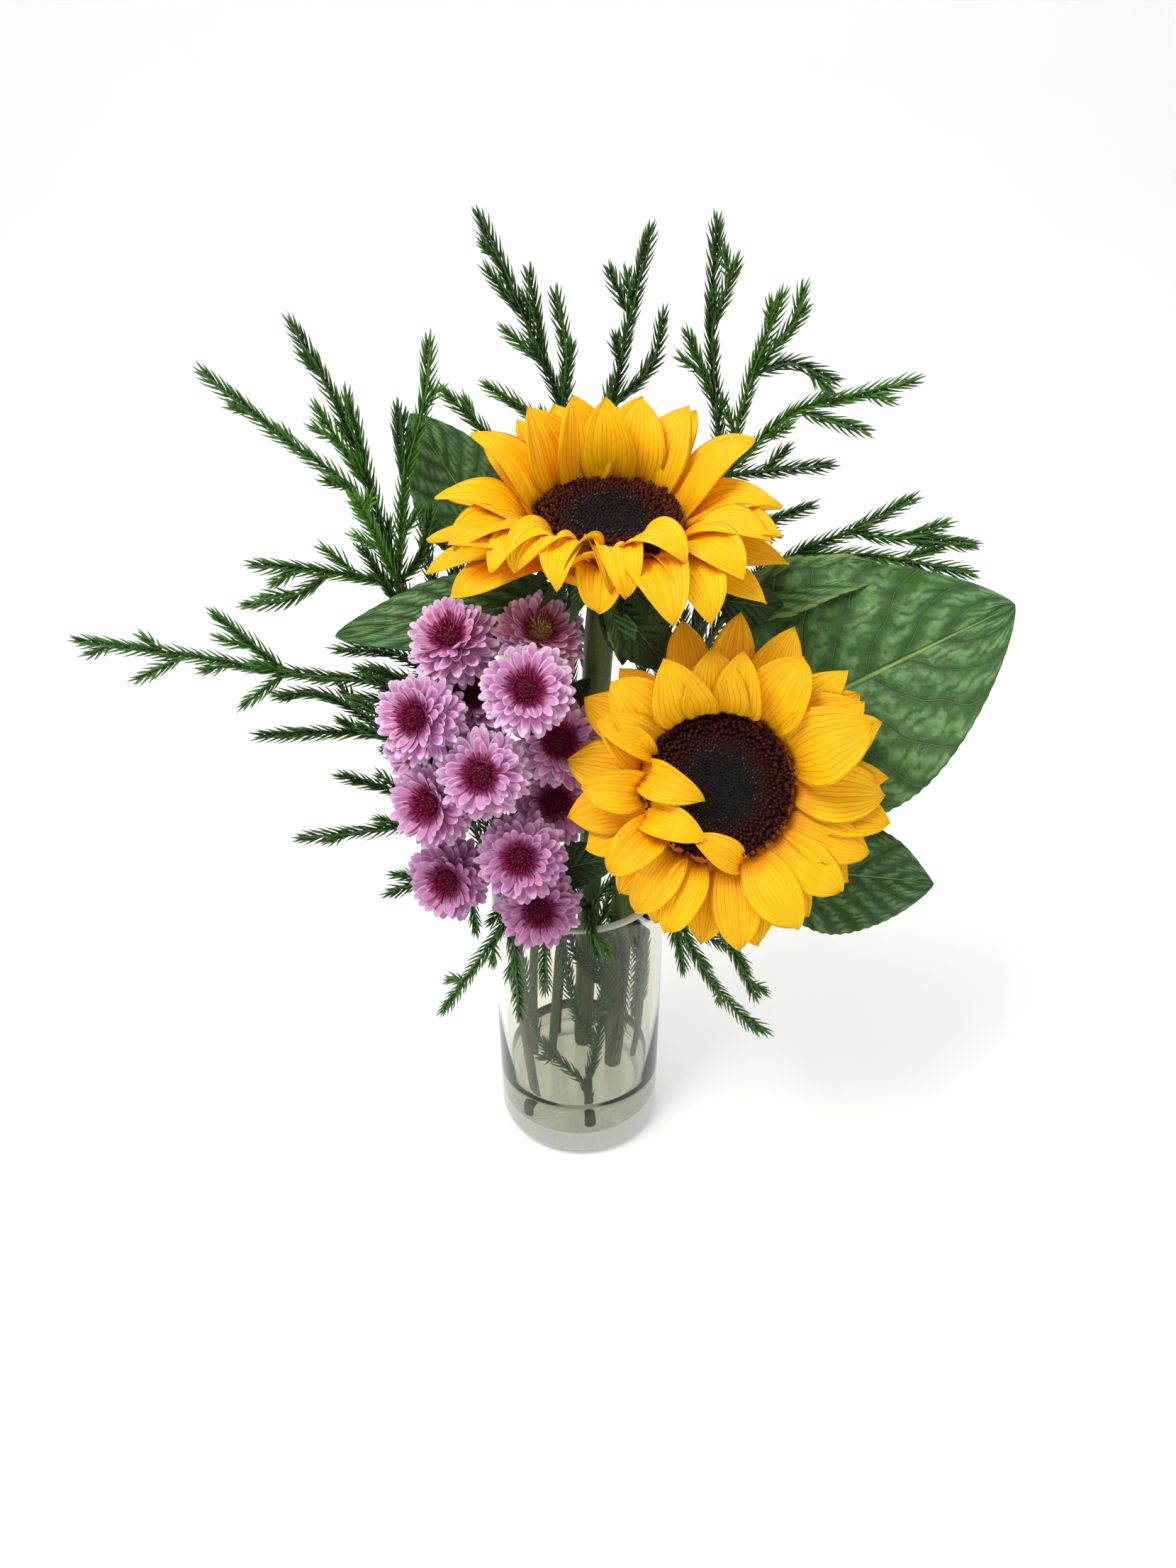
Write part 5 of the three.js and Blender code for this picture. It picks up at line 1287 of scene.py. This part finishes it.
def mum_eye_finish(settings):
    """Burgundy quills with brighter tips, or yellow-green ones in a fresh head, and painted
    shade that darkens the quills and the cushion under them towards their feet.
    """
    f = Finish("mum_eye")
    _, level, tint = f.place()
    # Painted shade in the gaps: the quills and the cushion under them turn dark burgundy low down.
    colour = f.mix(f.fade(level, 0.2, 0.8), screen_colour(74, 4, 34), settings.eye)
    colour = f.mix(f.fade(tint, 0.15, 0.8), colour, settings.eye_fresh)
    colour = f.paint(colour, f.fade(level, 0.82, 1.0, 0.0, 0.6), 204, 80, 140)
    return f.surface(colour, f.fade(f.noise(900.0), 0.3, 0.7, 0.5, 0.75),
                     Specular_IOR_Level=0.2)


def needle_finish(settings):
    """Needles from deep green to the bright green of a painted highlight as the tint rises,
    lighter towards the tip, and fresh where the tint is high."""
    f = Finish("cedar_needle")
    _, along, tint = f.place()
    # The tint mixes in the painted highlight, the bright green.
    colour = f.mix(f.fade(tint, 0.0, 0.62), settings.dark, settings.bright)
    colour = f.mix(f.fade(tint, 0.72, 1.0), colour, settings.fresh)
    colour = f.paint(colour, f.fade(along, 0.2, 1.0, 0.0, 0.35), 94, 142, 48)
    grain = f.noise(420.0, 3.0)
    colour = f.paint(colour, f.fade(grain, 0.35, 0.7, 0.3, 0.0), 12, 38, 14)
    return f.surface(colour, f.fade(grain, 0.3, 0.7, 0.38, 0.55), f.bump(grain, 0.2, 0.0003))


def bark_finish(settings):
    """Woody stems: brown-green with lengthwise cracks."""
    f = Finish("cedar_bark")
    streak = f.noise(420.0, 4.0, stretch=(1.0, 1.0, 0.15))
    colour = f.paint(settings.bark, f.fade(streak, 0.3, 0.7), 112, 96, 52)
    colour = f.paint(colour, f.fade(f.noise(60.0), 0.45, 0.7, 0.0, 0.5), 58, 74, 30)
    return f.surface(colour, 0.75, f.bump(streak, 0.6, 0.0008))


def glass_finish(settings):
    """Clear glass, a little uneven, with weak reflections so that the stems read."""
    f = Finish("vase_glass")
    return f.surface(
        f.mottle(settings.glass, 18.0, 0.5, 238, 247, 242), 0.015,
        f.bump(f.noise(25.0, 1.0), 0.03, 0.002),
        Transmission_Weight=1.0, IOR=GLASS_IOR, Specular_Tint=(0.16, 0.17, 0.17),
    )


def rim_finish(settings):
    """The fire-polished rim, only partly clear and pale: a painted highlight for the pale band
    of light that a rim gathers.
    """
    f = Finish("vase_rim")
    return f.surface(
        f.mottle(settings.glass, 60.0, 0.6, 205, 218, 210), 0.12,
        f.bump(f.noise(40.0, 1.0), 0.05, 0.001), Transmission_Weight=0.45, IOR=GLASS_IOR,
    )


def water_finish(settings):
    """Still water."""
    f = Finish("water")
    return f.surface(f.mottle(settings.water, 30.0, 0.5, 230, 238, 240), 0.0,
                     Transmission_Weight=1.0, IOR=WATER_IOR)


def floor_finish(settings):
    """A pale matt floor with a faint grain."""
    f = Finish("floor")
    return f.surface(
        f.mottle(settings.floor, 6.0, 0.3, 246, 246, 244, detail=3.0), 0.85,
        f.bump(f.noise(300.0), 0.05, 0.0005),
        Emission_Color=WHITE, Emission_Strength=FLOOR_GLOW,
    )


# ---------------------------------------------------------------------------------------
# Operators
# ---------------------------------------------------------------------------------------


class BOUQUET_OT_make_vase(bpy.types.Operator):
    """Turn the glass vase"""

    bl_idname = "bouquet.make_vase"
    bl_label = "Make Vase"

    def execute(self, context):
        v = context.scene.bouquet_vase
        radius, height, wall, heel = [x / MM for x in (v.radius, v.height, v.wall, v.heel)]
        floor = v.floor / MM
        inner = radius - wall
        rim = wall / 2
        profile = [
            (0, 0), (radius - heel - 6, 0),
            *arc((radius - heel, heel), heel, -90, 0, 10),
            (radius, height * 0.3), (radius, height * 0.6), (radius, height * 0.9),
            *arc((radius - rim, height - rim), rim, 0, 180, 10),
            (inner, height * 0.9), (inner, height * 0.5),
            *arc((inner - VASE_INNER_FILLET, floor + VASE_INNER_FILLET), VASE_INNER_FILLET,
                 0, -90, 5),
            (inner * 0.5, floor), (0, floor),
        ]
        # Bands within a wall's thickness of the top take the rim's finish and its painted
        # highlight.
        heights = np.array(profile)[1:-1, 1]
        bands = (np.minimum(heights[1:], heights[:-1]) > height - wall).astype(int)
        make_piece("glass_vase", [lathe(profile, 128, finish=bands)],
                   [glass_finish(v), rim_finish(v)], "vase")
        return {"FINISHED"}


class BOUQUET_OT_make_water(bpy.types.Operator):
    """Pour the water: it meets the glass and climbs a little at its edge"""

    bl_idname = "bouquet.make_water"
    bl_label = "Make Water"

    def execute(self, context):
        v = context.scene.bouquet_vase
        inner = (v.radius - v.wall) / MM + WATER_OVERLAP
        bottom, level = v.floor / MM - WATER_OVERLAP, v.water_level / MM
        fillet = VASE_INNER_FILLET
        profile = [
            (0, bottom), (inner * 0.5, bottom),
            *arc((inner - fillet, bottom + fillet), fillet, -90, 0, 5),
            (inner, level * 0.7), (inner, level + 1.4), (inner - 0.4, level + 0.9),
            (inner - 1.2, level + 0.3), (inner - 2.6, level), (inner * 0.5, level), (0, level),
        ]
        make_piece("vase_water", [lathe(profile, 96)], [water_finish(v)], "water")
        return {"FINISHED"}


class BOUQUET_OT_make_sunflower_stems(bpy.types.Operator):
    """Grow both sunflower stems with their leaves, petioles, calyx and bracts"""

    bl_idname = "bouquet.make_sunflower_stems"
    bl_label = "Make Sunflower Stems"

    def execute(self, context):
        s = context.scene.bouquet_sunflower
        finishes = [leaf_finish(s), stem_finish(s)]
        thickness = s.leaf_thickness / MM
        for name, line, leaves, head in (
            ("upper", UPPER_STEM, UPPER_LEAVES, UPPER_HEAD),
            ("lower", LOWER_STEM, LOWER_LEAVES, LOWER_HEAD),
        ):
            parts = [tube(line, SUNFLOWER_STEM_RADIUS, sides=24, ribs=0.035, tint=0.8,
                          finish=1, end_radius=SUNFLOWER_NECK_RADIUS)]
            for form in leaves.values():
                parts += leaf(form, thickness)
            parts += on_head(calyx(thickness), head)
            make_piece(f"{name}_sunflower_greens", parts, finishes,
                       f"sunflower_{name}_stem")
        return {"FINISHED"}


class BOUQUET_OT_make_sunflower_heads(bpy.types.Operator):
    """Set the petals and the florets of both sunflower heads"""

    bl_idname = "bouquet.make_sunflower_heads"
    bl_label = "Make Sunflower Heads"

    def execute(self, context):
        s = context.scene.bouquet_sunflower
        petal, disc = petal_finish(s), disc_finish(s)
        thickness = s.petal_thickness / MM
        for number, (name, rings, singles, head) in enumerate((
            ("upper", UPPER_RINGS, UPPER_SINGLES, UPPER_HEAD),
            ("lower", LOWER_RINGS, LOWER_SINGLES, LOWER_HEAD),
        )):
            petals = sunflower_petals(rings, singles, thickness, PETAL_SEED + number)
            make_piece(f"{name}_sunflower_rays", on_head(petals, head), [petal],
                       f"sunflower_{name}_petals")
            florets = sunflower_disc(s.florets, DISC_SEED + number)
            make_piece(f"{name}_sunflower_florets", on_head(florets, head), [disc],
                       f"sunflower_{name}_disc")
        return {"FINISHED"}


class BOUQUET_OT_make_mum_stems(bpy.types.Operator):
    """Grow the branched chrysanthemum stems and their leaves"""

    bl_idname = "bouquet.make_mum_stems"
    bl_label = "Make Chrysanthemum Stems"

    def execute(self, context):
        s = context.scene.bouquet_sunflower
        finishes = [bpy.data.materials["leaf"], bpy.data.materials["stem"]]
        for number, (line, heads, leaves) in enumerate(MUM_SPRAYS, start=1):
            parts = [tube(line, MUM_STEM_RADIUS, ribs=0.05, tint=0.3, finish=1)]
            for _, centre, normal, start, via in heads:
                facing = unit(np.asarray(normal, float))
                end = np.asarray(centre, float) - facing * (MUM_BACK + 0.2)
                twig = [line[start], *([via] if via else []), end - facing * MUM_NECK, end]
                parts.append(tube(twig, MUM_TWIG_RADIUS, sides=8, ribs=0.04, tint=0.4, finish=1))
            for form in leaves.values():
                parts += leaf(form, s.leaf_thickness / MM)
            make_piece(f"mum_spray_{number}", parts, finishes, f"mum_stem_{number}")
        return {"FINISHED"}


class BOUQUET_OT_make_mum_heads(bpy.types.Operator):
    """Set the thirteen chrysanthemum heads, petals and eye each"""

    bl_idname = "bouquet.make_mum_heads"
    bl_label = "Make Chrysanthemum Heads"

    def execute(self, context):
        s = context.scene.bouquet_mum
        petal, eye = mum_petal_finish(s), mum_eye_finish(s)
        for _, heads, _ in MUM_SPRAYS:
            for name, centre, normal, _, _ in heads:
                number, fresh = int(name[-2:]), MUM_FRESHNESS.get(name, 0.0)
                petals = mum_petals(MUM_PETAL_SEED + number, fresh * 0.7)
                make_piece(f"{name}_rays", on_head(petals, (centre, normal)), [petal],
                           f"{name}_petals")
                quills = mum_eye(MUM_EYE_SEED + number, fresh)
                make_piece(f"{name}_quills", on_head(quills, (centre, normal)), [eye],
                           f"{name}_eye")
        return {"FINISHED"}


class BOUQUET_OT_make_cedar(bpy.types.Operator):
    """Grow the five cedar sprays"""

    bl_idname = "bouquet.make_cedar"
    bl_label = "Make Cedar"

    def execute(self, context):
        s = context.scene.bouquet_cedar
        finishes = [needle_finish(s), bark_finish(s)]
        for number, (name, spray) in enumerate(CEDAR_SPRAYS.items()):
            parts = cedar_spray(spray, s, CEDAR_SEED + number)
            make_piece(f"{name}_spray", parts, finishes, name)
        return {"FINISHED"}


class BOUQUET_OT_make_stage(bpy.types.Operator):
    """Lay the floor and the backdrop, and set the lights and the camera"""

    bl_idname = "bouquet.make_stage"
    bl_label = "Make Stage"

    def execute(self, context):
        s = context.scene.bouquet_stage
        scene = context.scene
        line = np.array([
            (FLOOR_FRONT, 0.0),
            *arc((FLOOR_BACK, BACKDROP_RADIUS), BACKDROP_RADIUS, -90, 0, 15),
            (FLOOR_BACK + BACKDROP_RADIUS, BACKDROP_HEIGHT),
        ])
        across = np.linspace(-FLOOR_HALF_WIDTH, FLOOR_HALF_WIDTH, 8)
        grid = triples(across[None, :], line[:, :1], line[:, 1:])
        rows, columns = grid.shape[:2]
        row, column = np.meshgrid(np.arange(rows - 1), np.arange(columns - 1), indexing="ij")
        corner = row * columns + column
        quads = np.stack([corner, corner + 1, corner + columns + 1, corner + columns], axis=-1)
        mesh = bpy.data.meshes.new("studio_floor")
        mesh.from_pydata(grid.reshape(-1, 3).tolist(), [], quads.reshape(-1, 4).tolist())
        mesh.polygons.foreach_set("use_smooth", np.ones(len(mesh.polygons), dtype=bool))
        mesh.materials.append(floor_finish(s))
        floor = bpy.data.objects.new("studio_floor", mesh)
        scene.collection.objects.link(floor)

        world = bpy.data.worlds.new("studio")
        world.use_nodes = True
        colour, strength = world.node_tree.nodes["Background"].inputs[:2]
        colour.default_value = WHITE
        strength.default_value = WORLD_STRENGTH
        scene.world = world
        for name, (size, place) in LIGHTS.items():
            light = bpy.data.lights.new(name, "AREA")
            light.energy = s.key_power if name == "key" else s.fill_power
            light.size = size
            lamp = bpy.data.objects.new(name, light)
            lamp.location = place
            x, y, z = np.subtract(LIGHT_TARGET, place)
            lamp.rotation_euler = (
                math.pi / 2 - math.atan2(-z, math.hypot(x, y)), 0, math.atan2(-x, y)
            )
            scene.collection.objects.link(lamp)

        camera = bpy.data.cameras.new("camera")
        camera.lens = s.lens
        camera.sensor_width = CAMERA_SENSOR
        camera.clip_start = 0.01
        view = bpy.data.objects.new("camera", camera)
        view.location = CAMERA_PLACE
        view.rotation_euler = (math.radians(CAMERA_TILT), 0, 0)
        scene.collection.objects.link(view)
        scene.camera = view
        scene.view_settings.view_transform = "Standard"
        return {"FINISHED"}


class BOUQUET_PT_panel(bpy.types.Panel):
    """Lists what the bouquet is made of"""

    bl_label = "Bouquet"
    bl_idname = "BOUQUET_PT_panel"
    bl_space_type = "VIEW_3D"
    bl_region_type = "UI"
    bl_category = "Bouquet"

    def draw(self, context):
        scene = context.scene
        for group in ("vase", "sunflower", "mum", "cedar", "stage"):
            settings = getattr(scene, f"bouquet_{group}")
            box = self.layout.box()
            box.label(text=group.capitalize())
            for key in settings.bl_rna.properties.keys():
                if key not in ("rna_type", "name"):
                    box.prop(settings, key)
        for operator in OPERATORS:
            self.layout.operator(operator.bl_idname)


OPERATORS = (
    BOUQUET_OT_make_stage,
    BOUQUET_OT_make_vase,
    BOUQUET_OT_make_water,
    BOUQUET_OT_make_sunflower_stems,
    BOUQUET_OT_make_sunflower_heads,
    BOUQUET_OT_make_mum_stems,
    BOUQUET_OT_make_mum_heads,
    BOUQUET_OT_make_cedar,
)
SETTINGS = {
    "bouquet_vase": BouquetVaseSettings,
    "bouquet_sunflower": BouquetSunflowerSettings,
    "bouquet_mum": BouquetMumSettings,
    "bouquet_cedar": BouquetCedarSettings,
    "bouquet_stage": BouquetStageSettings,
}
CLASSES = (*SETTINGS.values(), *OPERATORS, BOUQUET_PT_panel)


def register():
    for one in CLASSES:
        bpy.utils.register_class(one)
    for name, group in SETTINGS.items():
        setattr(bpy.types.Scene, name, bpy.props.PointerProperty(type=group))


def unregister():
    for name in SETTINGS:
        delattr(bpy.types.Scene, name)
    for one in reversed(CLASSES):
        bpy.utils.unregister_class(one)


def main():
    """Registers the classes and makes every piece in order."""
    register()
    bpy.ops.bouquet.make_stage()
    bpy.ops.bouquet.make_vase()
    bpy.ops.bouquet.make_water()
    bpy.ops.bouquet.make_sunflower_stems()
    bpy.ops.bouquet.make_sunflower_heads()
    bpy.ops.bouquet.make_mum_stems()
    bpy.ops.bouquet.make_mum_heads()
    bpy.ops.bouquet.make_cedar()


if __name__ == "__main__":
    main()
